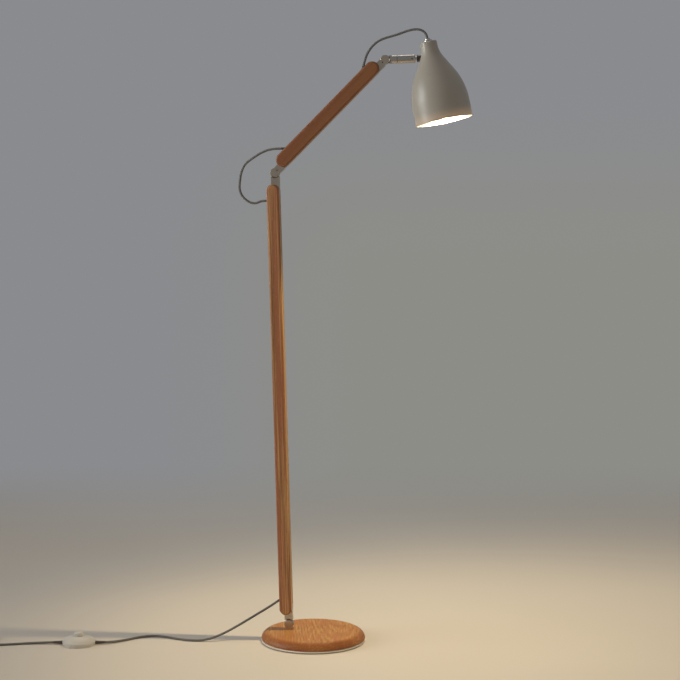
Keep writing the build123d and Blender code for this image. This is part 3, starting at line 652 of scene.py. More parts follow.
@dataclass(frozen=True)
class Braid(Finish):
    """Woven textile sleeve of the flex, read along and round the tube.

    Attributes:
        thread: Main colour of the threads.
        shadow: Colour between the threads.
        fleck: Colour of the paler threads.
        strands: Strands of each hand round the sleeve.
        lay: Length that one strand takes to cross its neighbour, in metres.
    """

    thread: Colour = linear(113, 110, 105)
    shadow: Colour = linear(101, 98, 93)
    fleck: Colour = linear(125, 121, 115)
    strands: int = 10
    lay: float = 1.7 * MM

    def dress(self, graph: ShaderGraph) -> None:
        """Cross two hands of strands over and under each other.

        Args:
            graph: The material's nodes, with a plain surface.
        """
        split = graph.node("ShaderNodeSeparateXYZ")
        graph.feed(split.inputs[0], graph.node("ShaderNodeTexCoord").outputs["UV"])
        turn = graph.calc("MULTIPLY", split.outputs[0], float(self.strands))
        run = graph.calc("DIVIDE", split.outputs[1], self.lay)
        right = graph.calc("ADD", turn, run)
        left = graph.calc("SUBTRACT", turn, run)
        ridges = []
        for strand in (right, left):
            wave = graph.calc("SINE", graph.calc("MULTIPLY", strand, math.pi))
            ridges.append((graph.calc("ABSOLUTE", wave), graph.calc("FLOOR", strand)))
        (right_ridge, right_index), (left_ridge, left_index) = ridges
        over = graph.calc("PINGPONG", graph.calc("ADD", right_index, left_index), 1.0)
        rise = graph.calc("SUBTRACT", right_ridge, left_ridge)
        ridge = graph.calc("MULTIPLY_ADD", over, rise, left_ridge)
        skip = graph.calc("SUBTRACT", right_index, left_index)
        index = graph.calc("MULTIPLY_ADD", over, skip, left_index)
        pick = graph.node("ShaderNodeTexWhiteNoise", noise_dimensions="2D")
        graph.feed(pick.inputs["Vector"], graph.join(index, over, 0.0))
        pale = graph.spread(pick.outputs["Value"], 0.7, 0.9)
        cloth = graph.blend(graph.calc("MULTIPLY", pale, 0.55), self.thread, self.fleck)
        graph.set(
            base_color=graph.blend(graph.spread(ridge, 0.1, 0.75), self.shadow, cloth),
            roughness=graph.spread(ridge, 0.0, 1.0, 0.95, 0.78),
            sheen_weight=0.25,
            sheen_roughness=0.5,
        )
        graph.bump(ridge, 0.2 * MM, 0.2)


@dataclass(frozen=True)
class OpalLamp(Finish):
    """Opal lamp envelope that glows, brighter at its middle than at its neck.

    Attributes:
        neck: Point where the glow starts.
        axis: Direction from the neck to the lamp's end.
        glow: Colour of the light.
        power: Strength of the glow.
        dim: Share of the glow at the neck.
        fade: Length over which the glow comes up, in metres.
        pale: Lighter colour of the opal skin.
        deep: Darker colour of the opal skin.
    """

    neck: Vector
    axis: Vector
    glow: Colour = linear(255, 236, 205)
    power: float = 9.0
    dim: float = 0.35
    fade: float = 30.0 * MM
    pale: Colour = linear(246, 243, 236)
    deep: Colour = linear(238, 234, 226)

    def dress(self, graph: ShaderGraph) -> None:
        """Fade the glow in from the neck over a smooth opal skin.

        Args:
            graph: The material's nodes, with a plain surface.
        """
        reach = graph.dot(graph.away(graph.place(), self.neck), self.axis.normalized())
        skin = graph.noise(graph.place(), 300.0, 2.0)
        dimmed = tuple(self.dim * part for part in self.glow)
        lit = graph.blend(graph.spread(reach, 0.0, self.fade), dimmed, self.glow)
        graph.set(
            base_color=graph.blend(graph.spread(skin, 0.3, 0.7), self.pale, self.deep),
            roughness=graph.spread(skin, 0.3, 0.7, 0.18, 0.26),
            emission_color=lit,
            emission_strength=self.power,
        )


def finished(piece: bpy.types.Object, finish: Finish) -> None:
    """Give an object one finish all over."""
    piece.data.materials.clear()
    piece.data.materials.append(finish.material())


def dress_nodes(finish: Finish, *nodes: str) -> None:
    """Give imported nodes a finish, each keeping its own shape.

    Args:
        finish: The finish.
        *nodes: Names of the nodes.
    """
    for name in nodes:
        finished(frame["nodes"][name], finish)
        log.info("%s: %s", name, finish.name)


def new_piece(
    name: str, mesh: bmesh.types.BMesh, finish: Finish, smooth: bool = True
) -> bpy.types.Object:
    """Turn a finished bmesh into a shaded object.

    Args:
        name: The object's name.
        mesh: Its shape, which is freed.
        finish: Its finish.
        smooth: Whether its faces shade as one curved surface.

    Returns:
        The new object, not yet riding on a body.
    """
    bmesh.ops.recalc_face_normals(mesh, faces=mesh.faces)
    data = bpy.data.meshes.new(name)
    mesh.to_mesh(data)
    mesh.free()
    piece = bpy.data.objects.new(name, data)
    bpy.context.scene.collection.objects.link(piece)
    if smooth:
        data.shade_smooth()
    finished(piece, finish)
    log.info("%s: %d faces, %s", name, len(data.polygons), finish.name)
    return piece


def frames_along(points: Sequence[Vector]) -> list[tuple[Vector, Vector, Vector]]:
    """Carry a cross frame along a line without twisting it.

    Args:
        points: The line.

    Returns:
        For each point its direction and two directions across it.
    """
    directions = []
    for index in range(len(points)):
        ahead = points[min(index + 1, len(points) - 1)]
        behind = points[max(index - 1, 0)]
        directions.append((ahead - behind).normalized())
    across = directions[0].orthogonal().normalized()
    carried = []
    for direction in directions:
        across = (across - direction * across.dot(direction)).normalized()
        carried.append((direction, across, direction.cross(across)))
    return carried


def round_section(
    mesh: bmesh.types.BMesh, centre: Vector, across: Vector, other: Vector, radius: float, sides: int
) -> list[bmesh.types.BMVert]:
    """Add the corners of a round section.

    Args:
        mesh: The mesh that takes them.
        centre: Middle of the section.
        across: One direction in the section.
        other: The direction square to it.
        radius: Radius of the section in metres.
        sides: Number of corners.

    Returns:
        The corners in order.
    """
    turns = [2 * math.pi * corner / sides for corner in range(sides)]
    spokes = [across * math.cos(turn) + other * math.sin(turn) for turn in turns]
    return [mesh.verts.new(centre + spoke * radius) for spoke in spokes]


def close_round(mesh: bmesh.types.BMesh, rings: list[list[bmesh.types.BMVert]]) -> None:
    """Join each ring of corners to the next with faces, and the last to the first.

    Args:
        mesh: The mesh that holds the corners.
        rings: The rings in order.
    """
    for near, far in zip(rings, rings[1:] + rings[:1]):
        for corner in range(len(near)):
            following = (corner + 1) % len(near)
            mesh.faces.new((near[corner], near[following], far[following], far[corner]))


def tube_mesh(
    points: Sequence[Vector], radius: Callable[[float], float], sides: int
) -> bmesh.types.BMesh:
    """Sweep a round section along a line, with texture coordinates round and along it.

    Args:
        points: The line.
        radius: Radius after a length from the line's start, in metres.
        sides: Corners of the section.

    Returns:
        The closed tube.
    """
    mesh = bmesh.new()
    layer = mesh.loops.layers.uv.new("sleeve")
    lengths = [0.0]
    for before, after in zip(points, points[1:]):
        lengths.append(lengths[-1] + (after - before).length)
    rings = []
    for point, run, (_, across, other) in zip(points, lengths, frames_along(points)):
        rings.append(round_section(mesh, point, across, other, radius(run), sides))
    for index, (near, far) in enumerate(zip(rings, rings[1:])):
        for corner in range(sides):
            following = (corner + 1) % sides
            face = mesh.faces.new((near[corner], near[following], far[following], far[corner]))
            places = ((corner, index), (corner + 1, index), (corner + 1, index + 1), (corner, index + 1))
            for loop, (turn, step) in zip(face.loops, places):
                loop[layer].uv = (turn / sides, lengths[step])
    mesh.faces.new(reversed(rings[0]))
    mesh.faces.new(rings[-1])
    return mesh


def even_line(points: Sequence[Vector], length: float, step: float) -> list[Vector]:
    """Walk along a line from its start and give points at even steps.

    Args:
        points: The line.
        length: How far to walk, in metres.
        step: Distance between the points, in metres.

    Returns:
        The points, the last one at the full length.
    """
    count = max(2, round(length / step))
    wanted = [length * index / count for index in range(count + 1)]
    walked = [points[0].copy()]
    travelled = 0.0
    for before, after in zip(points, points[1:]):
        reach = (after - before).length
        while len(walked) <= count and travelled + reach >= wanted[len(walked)] > travelled:
            share = (wanted[len(walked)] - travelled) / reach
            walked.append(before.lerp(after, share))
        travelled += reach
    return walked


def ring_mesh(
    centre: Vector, first: Vector, second: Vector, thickness: float, around: int, sides: int
) -> bmesh.types.BMesh:
    """Sweep a round section round an oval.

    Args:
        centre: Middle of the oval.
        first: One half axis of the oval.
        second: The other half axis.
        thickness: Radius of the section in metres.
        around: Steps round the oval.
        sides: Corners of the section.

    Returns:
        The closed ring.
    """
    mesh = bmesh.new()
    up = first.cross(second).normalized()
    rings = []
    for step in range(around):
        angle = 2 * math.pi * step / around
        spot = centre + first * math.cos(angle) + second * math.sin(angle)
        heading = second * math.cos(angle) - first * math.sin(angle)
        out = heading.cross(up).normalized()
        rings.append(round_section(mesh, spot, out, up, thickness, sides))
    close_round(mesh, rings)
    return mesh


def lathe_mesh(
    origin: Vector, axis: Vector, profile: Sequence[tuple[float, float]], around: int, knurl: float = 0.0
) -> bmesh.types.BMesh:
    """Turn a closed profile round an axis, with an optional knurl that cuts two steps in four.

    Args:
        origin: Start of the axis.
        axis: Its direction.
        profile: Corners as length along the axis and radius, in metres.
        around: Steps round the axis.
        knurl: Depth of the knurl on the outermost corners, in metres.

    Returns:
        The closed ring.
    """
    mesh = bmesh.new()
    heading = axis.normalized()
    across = heading.orthogonal().normalized()
    other = heading.cross(across)
    widest = max(radius for _, radius in profile)
    columns = []
    for step in range(around):
        angle = 2 * math.pi * step / around
        spoke = across * math.cos(angle) + other * math.sin(angle)
        cut = knurl if step % 4 in (2, 3) else 0.0
        column = []
        for run, radius in profile:
            depth = cut if radius > widest - knurl else 0.0
            column.append(mesh.verts.new(origin + heading * run + spoke * (radius - depth)))
        columns.append(column)
    close_round(mesh, columns)
    return mesh


@dataclass(frozen=True)
class SoftBox:
    """One square soft light of the studio.

    Attributes:
        name: The light's name.
        spot: Its place in metres.
        aim: The point that it faces.
        size: Its side in metres.
        power: Its power in watts.
        colour: Its colour.
        beam: Full angle of the light that it lets out, in degrees.
        mirrored: Whether glossy surfaces mirror it.
    """

    name: str
    spot: Vector
    aim: Vector
    size: float
    power: float
    colour: Colour
    beam: float = 180.0
    mirrored: bool = True

    def hang(self) -> None:
        """Hang the light so that it faces its aim."""
        data = bpy.data.lights.new(self.name, "AREA")
        data.size = self.size
        data.spread = math.radians(self.beam)
        data.energy = self.power
        data.color = self.colour
        light = bpy.data.objects.new(self.name, data)
        light.location = self.spot
        light.rotation_euler = (self.aim - self.spot).to_track_quat("-Z", "Y").to_euler()
        light.visible_glossy = self.mirrored
        bpy.context.scene.collection.objects.link(light)


@dataclass(frozen=True)
class LampBeam:
    """Light that the lit lamp throws out of the shade's mouth.

    Attributes:
        name: The light's name.
        spot: Its place in metres.
        axis: Direction of its middle.
        spread: Full angle of the cone in degrees.
        edge: Share of the cone over which it fades.
        power: Its power in watts.
        radius: Radius of the glowing globe in metres.
        colour: Its colour.
    """

    name: str
    spot: Vector
    axis: Vector
    spread: float = 126.0
    edge: float = 0.6
    power: float = 33.6
    radius: float = 12.0 * MM
    colour: Colour = (1.0, 0.82, 0.51)

    def hang(self) -> None:
        """Hang the light in the shade and let it move with the head."""
        data = bpy.data.lights.new(self.name, "SPOT")
        data.spot_size = math.radians(self.spread)
        data.spot_blend = self.edge
        data.shadow_soft_size = self.radius
        data.energy = self.power
        data.color = self.colour
        light = bpy.data.objects.new(self.name, data)
        light.location = self.spot
        light.rotation_euler = self.axis.to_track_quat("-Z", "Y").to_euler()
        light.visible_camera = False
        light.visible_glossy = False
        bpy.context.scene.collection.objects.link(light)
        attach(light, Body.HEAD.value)


@dataclass
class Studio:
    """Camera, pale floor and soft light.

    Attributes:
        spot: Camera's place in metres.
        pitch: Degrees that the camera looks down.
        turn: Degrees that it stands round to the right.
        lens: Lens in millimetres.
        sensor: Width of the camera's sensor in millimetres.
        backdrop: Grey that the camera and the metal see beyond the floor.
        haze_left: Grey of the backdrop's foot at the left of the picture.
        haze_right: Warmer grey of its foot at the right.
        haze_low: Slope of the sight line at which the backdrop is all foot.
        haze_high: Slope at which the foot's colour is gone.
        haze_from: How far the sight line leans to the right where the foot starts to turn warmer.
        haze_to: How far it leans where the foot has done so.
        floor: Colour of the floor.
        floor_radius: Radius of the floor in metres.
        floor_sides: Corners of the floor's outline.
        sweep_near: Distance behind the lamp at which the floor starts to fall away into the grey.
        sweep_far: Distance at which it has done so.
        edge_near: Distance to any side at which it starts to do so.
        edge_far: Distance at which it has done so there.
        room: Colour of the room's even light.
        ambient: Strength of the room's even light.
        lamps: The soft lights.
    """

    spot: Vector = field(default_factory=lambda: Vector((0.74006, -3.85702, 1.08052)))
    pitch: float = 6.0
    turn: float = 10.0
    lens: float = 96.2
    sensor: float = 36.0
    backdrop: Colour = linear(138, 139, 143)
    haze_left: Colour = linear(138, 139, 142)
    haze_right: Colour = linear(141, 141, 136)
    haze_low: float = -0.07
    haze_high: float = 0.045
    haze_from: float = -0.11
    haze_to: float = 0.02
    floor: Colour = linear(211, 202, 189)
    floor_radius: float = 14.0
    floor_sides: int = 96
    sweep_near: float = 0.95
    sweep_far: float = 2.3
    edge_near: float = 1.5
    edge_far: float = 3.2
    room: Colour = (1.0, 0.97, 0.97)
    ambient: float = 0.246
    lamps: tuple[SoftBox, ...] = (
        SoftBox(
            "key_left", Vector((-2.95, -1.03, 1.52)), Vector((0.25, 0, 1.2)),
            size=1.8, power=13.6, colour=(0.97, 1.0, 1.0), beam=75.0,
        ),
        SoftBox(
            "front", Vector((-0.6, -3.6, 1.45)), Vector((0.0, 0, 0.8)),
            size=1.0, power=4.1, colour=(1.0, 0.8, 0.72), mirrored=False,
        ),
        SoftBox(
            "top", Vector((-0.1, 0.95, 3.0)), Vector((0.1, 0, 0.6)),
            size=0.7, power=3.4, colour=(1.0, 0.92, 0.8),
        ),
        SoftBox(
            "back", Vector((-0.5, 1.7, 2.6)), Vector((-0.4, 1.6, 0.0)),
            size=1.2, power=3.6, colour=(0.8, 0.92, 1.0), beam=110.0,
        ),
    )

    def right(self) -> Vector:
        """Give the level direction to the right of the picture."""
        turn = math.radians(self.turn)
        return Vector((math.cos(turn), math.sin(turn), 0))

    def place_camera(self) -> None:
        """Stand the camera where the photograph was taken from."""
        data = bpy.data.cameras.new("camera")
        data.sensor_width = self.sensor
        data.lens = self.lens
        camera = bpy.data.objects.new("camera", data)
        camera.location = self.spot
        camera.rotation_euler = (math.radians(90 - self.pitch), 0, math.radians(self.turn))
        bpy.context.scene.collection.objects.link(camera)
        bpy.context.scene.camera = camera

    def foot(self, graph: NodeGraph, sight: Socket) -> Socket:
        """Give the colour of the backdrop's foot.

        Args:
            graph: The nodes that show it.
            sight: Direction of the sight line.

        Returns:
            The colour, warmer towards the right.
        """
        side = graph.spread(graph.dot(sight, self.right()), self.haze_from, self.haze_to)
        return graph.blend(side, self.haze_left, self.haze_right)

    def lay_floor(self) -> None:
        """Lay a pale floor that falls away into the backdrop's grey."""
        mesh = bmesh.new()
        bmesh.ops.create_circle(mesh, cap_ends=True, segments=self.floor_sides, radius=self.floor_radius)
        data = bpy.data.meshes.new("studio_floor")
        mesh.to_mesh(data)
        mesh.free()
        floor = bpy.data.objects.new("studio_floor", data)
        bpy.context.scene.collection.objects.link(floor)
        graph = ShaderGraph("studio_floor")
        place = graph.place()
        behind = graph.spread(graph.dot(place, UP.cross(self.right())), self.sweep_near, self.sweep_far)
        reach = graph.vector("LENGTH", place).outputs["Value"]
        aside = graph.spread(reach, self.edge_near, self.edge_far)
        far = graph.calc("MAXIMUM", behind, aside)
        drift = graph.noise(place, 1.4, 2.0)
        paler = tuple(1.03 * part for part in self.floor)
        graph.set(
            base_color=graph.blend(graph.spread(drift, 0.3, 0.7), self.floor, paler),
            roughness=0.9,
            specular_ior_level=0.1,
        )
        sight = graph.vector("NORMALIZE", graph.away(place, self.spot)).outputs["Vector"]
        beyond = graph.node("ShaderNodeEmission")
        graph.feed(beyond.inputs["Color"], self.foot(graph, sight))
        faded = graph.mix(far, graph.surface.outputs["BSDF"], beyond.outputs["Emission"])
        graph.feed(graph.output.inputs["Surface"], faded)
        data.materials.append(graph.material)

    def light_room(self) -> None:
        """Set the room's even light and the grey that the camera and the metal see."""
        world = bpy.data.worlds.new("studio")
        bpy.context.scene.world = world
        world.use_nodes = True
        graph = NodeGraph(world.node_tree)
        sight = graph.node("ShaderNodeTexCoord").outputs["Generated"]
        rise = graph.spread(graph.dot(sight, UP), self.haze_low, self.haze_high)
        room = graph.node("ShaderNodeBackground")
        graph.feed(room.inputs["Color"], (*self.room, 1.0))
        graph.feed(room.inputs["Strength"], self.ambient)
        seen = graph.node("ShaderNodeBackground")
        graph.feed(seen.inputs["Color"], graph.blend(rise, self.foot(graph, sight), self.backdrop))
        path = graph.node("ShaderNodeLightPath").outputs
        mirrored = graph.calc("MAXIMUM", path["Is Camera Ray"], path["Is Glossy Ray"])
        shown = graph.calc("MAXIMUM", mirrored, path["Is Transmission Ray"])
        output = graph.node("ShaderNodeOutputWorld")
        both = graph.mix(shown, room.outputs["Background"], seen.outputs["Background"])
        graph.feed(output.inputs["Surface"], both)

    def build(self) -> None:
        """Set up the camera, the floor and the lights."""
        bpy.context.scene.view_settings.view_transform = "Standard"
        self.place_camera()
        self.lay_floor()
        self.light_room()
        for lamp in self.lamps:
            lamp.hang()
            log.info("studio light: %s", lamp.name)


@dataclass
class Finishes:
    """Every finish that more than one piece may share, by what it is on."""

    nickel: Finish = SatinMetal("satin_nickel", linear(186, 175, 160), 0.3)
    knuckle: Finish = SatinMetal("brushed_nickel", linear(190, 176, 157), 0.34)
    rod: Finish = SatinMetal("polished_nickel", linear(186, 180, 172), 0.2, lines=0.02)
    saddle: Finish = SatinMetal("dark_nickel", linear(96, 88, 80), 0.4)
    zinc: Finish = SatinMetal("bright_zinc", linear(196, 194, 190), 0.36)
    black_steel: Finish = SatinMetal("black_steel", linear(40, 38, 36), 0.42)
    # Tan metal on both cover strips; on the post its tint also stands in for the lamp's light along the
    # bar's lit edge.
    strip: Finish = SatinMetal("tan_strip", linear(184, 150, 104), 0.5, metallic=0.5)
    plate: Finish = Coating("white_enamel", linear(250, 240, 222), 0.34, 0.9 * MM)
    rubber: Finish = Coating("pad_rubber", linear(44, 42, 40), 0.8, 0.5 * MM, 0.06 * MM, 0.2)
    washer: Finish = Coating("washer_nylon", linear(36, 35, 34), 0.55, 0.6 * MM, 0.03 * MM, 0.15)
    holder: Finish = Coating("holder_thermoset", linear(46, 44, 42), 0.4, 0.8 * MM, 0.02 * MM, 0.15)
    switch: Finish = Coating("switch_ivory", linear(206, 200, 188), 0.4, 0.8 * MM, 0.015 * MM, 0.05)
    inner: Finish = Coating("switch_grey", linear(120, 119, 117), 0.5, 0.8 * MM, 0.02 * MM, 0.1)
    sleeve: Finish = Coating("sleeve_grey", linear(84, 76, 68), 0.55, 0.6 * MM, 0.03 * MM, 0.12)
    plug: Finish = Coating("plug_black", linear(38, 37, 36), 0.45, 0.6 * MM, 0.03 * MM, 0.15)
    grommet: Finish = Coating("grommet_black", linear(30, 29, 28), 0.5, 0.5 * MM, 0.03 * MM, 0.15)
    cap: Finish = SatinMetal("lamp_cap_metal", linear(206, 204, 198), 0.28)
    braid: Finish = Braid("textile_braid")


@dataclass
class FlexRun:
    """One stretch of the textile flex on a smooth line.

    Attributes:
        name: The piece's name.
        route: Its points, in millimetres.
        length: Its real length in metres; not used.
        finish: The sleeve's finish.
        diameter: The flex's diameter in metres.
        sides: Corners of the tube's section.
        order: Order of the line's spline.
        resolution: Points of the line for each control point.
        line: Its points in metres, once it is built.
        piece: The tube, once it is built.
    """

    name: str
    route: Sequence[Sequence[float]]
    length: float
    finish: Finish
    diameter: float = 5.2 * MM
    sides: int = 14
    order: int = 3
    resolution: int = 12
    line: list[Vector] = field(default_factory=list)
    piece: Optional[bpy.types.Object] = None

    def smooth_line(self) -> list[Vector]:
        """Read points from a spline that has the route as its control points.

        Returns:
            The line's points in metres.
        """
        data = bpy.data.curves.new(f"{self.name}_route", "CURVE")
        data.dimensions = "3D"
        spline = data.splines.new("NURBS")
        spline.points.add(len(self.route) - 1)
        for point, place in zip(spline.points, self.route):
            point.co = (*(Vector(place) * MM), 1.0)
        spline.order_u = self.order
        spline.use_endpoint_u = True
        spline.resolution_u = self.resolution
        holder = bpy.data.objects.new(f"{self.name}_route", data)
        mesh = bpy.data.meshes.new_from_object(holder)
        points = [vertex.co.copy() for vertex in mesh.vertices]
        bpy.data.meshes.remove(mesh)
        bpy.data.objects.remove(holder)
        bpy.data.curves.remove(data)
        return points

    def build(self, *stands_for: str) -> bpy.types.Object:
        """Sweep the sleeve along the line and hide the solids that it stands for.

        Args:
            *stands_for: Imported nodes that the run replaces.

        Returns:
            The tube.
        """
        self.line = self.smooth_line()
        mesh = tube_mesh(self.line, lambda run: self.diameter / 2, self.sides)
        self.piece = new_piece(self.name, mesh, self.finish)
        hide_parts(*stands_for)
        return self.piece

    def declare(
        self, far_end: FarEnd, lay: Lay, stiffness: Stiffness, with_pieces: list[bpy.types.Object]
    ) -> None:
        """Take what kind of cord the run is, and do nothing with it.

        Args:
            far_end: What its far end is; not used.
            lay: How it lies; not used.
            stiffness: How stiff it is; not used.
            with_pieces: Pieces on it; not used.
        """


@dataclass(frozen=True)
class Bend:
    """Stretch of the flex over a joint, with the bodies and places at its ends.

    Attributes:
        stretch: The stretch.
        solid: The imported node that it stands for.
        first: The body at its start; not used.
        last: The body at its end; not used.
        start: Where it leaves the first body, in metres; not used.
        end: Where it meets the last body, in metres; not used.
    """

    stretch: Stretch
    solid: str
    first: Body
    last: Body
    start: Place
    end: Place


@dataclass
class Flex:
    """The lamp's textile flex: two loops over the joints, the mains lead, the tail and its coil.

    The routes and the coil's sizes are in millimetres, the lengths in metres.

    Attributes:
        finishes: The lamp's finishes.
        elbow_length: Length of the elbow's loop.
        head_arm_length: Length of the head's loop as far as the swivel.
        head_shade_length: Length of the head's loop from there to the shade.
        lead_length: Length from the post to the foot switch.
        tail_length: Length from the foot switch to the plug.
        coil_centre: Centre of the put-away coil.
        coil_radius: Radius of its outer turn at the middle of the flex.
        coil_pitch: Distance between neighbouring turns.
        coil_turns: Number of turns.
        coil_low: Height of the lower layer.
        coil_layer: Height of the upper layer above it.
        coil_lead_out: Length of the straight end after the last turn.
        points_per_turn: Control points for each turn.
        elbow_route: Control points of the elbow's loop.
        head_arm_route: Control points of the head's loop as far as the swivel.
        head_shade_route: Control points of the rest of that loop.
        lead_route: Control points from the post to the foot switch.
        tail_route: Control points from the foot switch to the coil.
        bends: The stretches that cross a joint.
        runs: The stretches, once they are built.
    """

    finishes: Finishes
    elbow_length: float = 0.22
    head_arm_length: float = 0.086
    head_shade_length: float = 0.097
    lead_length: float = 0.45
    tail_length: float = 1.46
    coil_centre: tuple[float, float] = (-742.0, -133.0)
    coil_radius: float = 40.4
    coil_pitch: float = 5.9
    coil_turns: float = 6.25
    coil_low: float = 3.8
    coil_layer: float = 5.9
    coil_lead_out: float = 34.0
    points_per_turn: int = 24
    elbow_route: tuple[Place, ...] = (
        (-104.07, 0, 968.97), (-113.07, 0, 968.72), (-126, 0, 962.8), (-140, 0, 965.2),
        (-155.5, 0, 977.5), (-162, 0, 994), (-160.5, 0, 1012), (-157.5, 0, 1031), (-149, 0, 1048.5),
        (-131, 0, 1061.5), (-110, 0, 1074.5), (-87.35, 0, 1081.52), (-65.35, 0, 1081.49),
    )
    head_arm_route: tuple[Place, ...] = (
        (110.51, 0, 1255.58), (113.68, 0, 1269.21), (119.5, 0, 1284), (131, 0, 1300), (148, 0, 1312.1),
        (163, 0, 1316.1),
    )
    head_shade_route: tuple[Place, ...] = (
        (163, 0, 1316.1), (178, 0, 1320.1), (190.5, 0, 1324.2), (205, 0, 1329.3), (219, 0, 1332.3),
        (231, 0, 1331.8), (240.2, 0.5, 1327.2), (245.64, 1.52, 1320.03), (247.24, 1.29, 1312.71),
    )
    lead_route: tuple[Place, ...] = (
        (-78.58, 0, 86.2), (-96.24, 0, 73.09), (-128, -9, 54), (-164, -25, 32.5), (-200, -40, 13.5),
        (-232, -52, 3.2), (-264, -57, 2.6), (-296, -50, 2.6), (-327, -37, 2.6), (-356, -33, 2.6),
        (-382, -47, 2.6), (-402, -72, 2.6), (-420, -93, 3.2), (-440.12, -110.44, 4.6),
        (-466.71, -115.13, 4.6),
    )
    tail_route: tuple[Place, ...] = (
        (-533.29, -126.87, 4.6), (-559.88, -131.56, 4.6), (-588, -135, 3), (-618, -144, 2.6),
        (-650, -158, 2.6), (-684, -169, 2.8), (-710.81, -174.12, 3.8),
    )
    bends: tuple[Bend, ...] = (
        Bend(
            Stretch.ELBOW, "elbow_loop", Body.POST, Body.ARM,
            start=(-0.130, 0, 0.980), end=(-0.080, 0, 1.090),
        ),
        Bend(
            Stretch.HEAD_ARM, "head_loop_arm", Body.ARM, Body.BRACKET,
            start=(0.114, 0, 1.270), end=(0.152, 0, 1.313),
        ),
        Bend(
            Stretch.HEAD_SHADE, "head_loop_shade", Body.BRACKET, Body.HEAD,
            start=(0.170, 0, 1.318), end=(0.236, 0, 1.330),
        ),
        Bend(
            Stretch.LEAD, "mains_lead", Body.BASE, Body.POST,
            start=(-0.196, -0.038, 0.016), end=(-0.094, -0.001, 0.075),
        ),
    )
    runs: dict[Stretch, FlexRun] = field(default_factory=dict)

    def coil_point(self, turn: float) -> Vector:
        """Give the flex's middle after some turns of the coil.

        Args:
            turn: The number of turns.

        Returns:
            The point in millimetres.
        """
        angle = -math.pi / 2 - 2 * math.pi * turn
        radius = self.coil_radius - self.coil_pitch * min(turn, self.coil_turns - turn)
        climb = min(max((turn - self.coil_turns / 2) * 2 + 0.5, 0), 1)
        height = self.coil_low + self.coil_layer * (1 - math.cos(math.pi * climb)) / 2
        x, y = self.coil_centre
        return Vector((x + radius * math.cos(angle), y + radius * math.sin(angle), height))

    def coil_route(self) -> list[Vector]:
        """Lay out the coil's turns and the straight end that goes into the plug.

        Returns:
            The control points in millimetres.
        """
        steps = round(self.coil_turns * self.points_per_turn)
        turns = [self.coil_point(step / self.points_per_turn) for step in range(steps + 1)]
        heading = (turns[-1] - turns[-2]).normalized()
        leaving = Vector((heading.x, heading.y, 0)).normalized()
        return turns + [turns[-1] + leaving * (self.coil_lead_out * share) for share in (0.35, 0.7, 1.0)]

    def build(self) -> None:
        """Make every stretch, and let the tail ride on the base."""
        tail_route = [*self.tail_route, *self.coil_route()]
        stretches = (
            (Stretch.ELBOW, self.elbow_route, self.elbow_length),
            (Stretch.HEAD_ARM, self.head_arm_route, self.head_arm_length),
            (Stretch.HEAD_SHADE, self.head_shade_route, self.head_shade_length),
            (Stretch.LEAD, self.lead_route, self.lead_length),
            (Stretch.TAIL, tail_route, self.tail_length),
        )
        for stretch, route, length in stretches:
            self.runs[stretch] = FlexRun(stretch.value, route, length, self.finishes.braid)
        for bend in self.bends:
            piece = self.runs[bend.stretch].build(bend.solid)
            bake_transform(piece)
        tail = self.runs[Stretch.TAIL].build("mains_tail", "mains_coil")
        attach(tail, Body.BASE.value)

    def declare(
        self, switch_sleeves: list[bpy.types.Object], plug_sleeves: list[bpy.types.Object]
    ) -> None:
        """Hand what kind of cord each stretch is and what is on it to the runs, which do nothing with
        it.

        Args:
            switch_sleeves: The foot switch's sleeves.
            plug_sleeves: The plug's sleeve.
        """
        nodes = frame["nodes"]
        switch_nodes = ("switch_base", "switch_cover", "switch_button", "switch_module")
        switch = [nodes[name] for name in switch_nodes]
        ends = [nodes[name] for name in ("plug_body", "plug_pins", "coil_tie")]
        for stretch in (Stretch.ELBOW, Stretch.HEAD_ARM, Stretch.HEAD_SHADE):
            self.runs[stretch].declare(FarEnd.OBJECT, Lay.HANGING, Stiffness.LIMP, [])
        lead, tail = self.runs[Stretch.LEAD], self.runs[Stretch.TAIL]
        lead.declare(FarEnd.FITTING, Lay.LOOSE, Stiffness.MEDIUM, switch + switch_sleeves)
        tail.declare(FarEnd.PLUG, Lay.COILED, Stiffness.MEDIUM, ends + plug_sleeves)


@dataclass
class RoundBase:
    """Oak disc on its white plate, with the pad under it and the stem of the lowest knuckle.

    Attributes:
        finishes: The lamp's finishes.
        oak: The disc's oak, with painted shade darkening its crown.
    """

    finishes: Finishes
    oak: Oak = Oak(
        "disc_oak",
        grain=Vector((-0.17, 1, 0.08)),
        across=UP,
        heart=Vector((0.062, 0, -0.07)),
        ring=4.6 * MM,
        pale=linear(209, 154, 83),
        dark=linear(154, 100, 47),
        red=linear(182, 117, 60),
        rings=0.3,
        streaks=330.0,
        contrast=1.1,
        # Painted shade on the crown, where its faces turn away from straight up.
        crown_shade=linear(126, 60, 26),
    )

    def build(self) -> None:
        """Dress the base's nodes."""
        dress_nodes(self.oak, "base_disc")
        dress_nodes(self.finishes.plate, "base_plate")
        dress_nodes(self.finishes.rubber, "base_pad")
        dress_nodes(self.finishes.nickel, "base_stem")
        dress_nodes(self.finishes.zinc, "stem_screw", "base_pivot_bolt")
        dress_nodes(self.finishes.washer, "base_friction_washer")


@dataclass(frozen=True)
class FlexExit:
    """Hole in an oak bar's back where the flex comes out.

    Attributes:
        name: Name of the grommet in it.
        place: Where the flex crosses the bar's back, in millimetres.
        heading: Direction in which the flex leaves.
    """

    name: str
    place: Place
    heading: Place


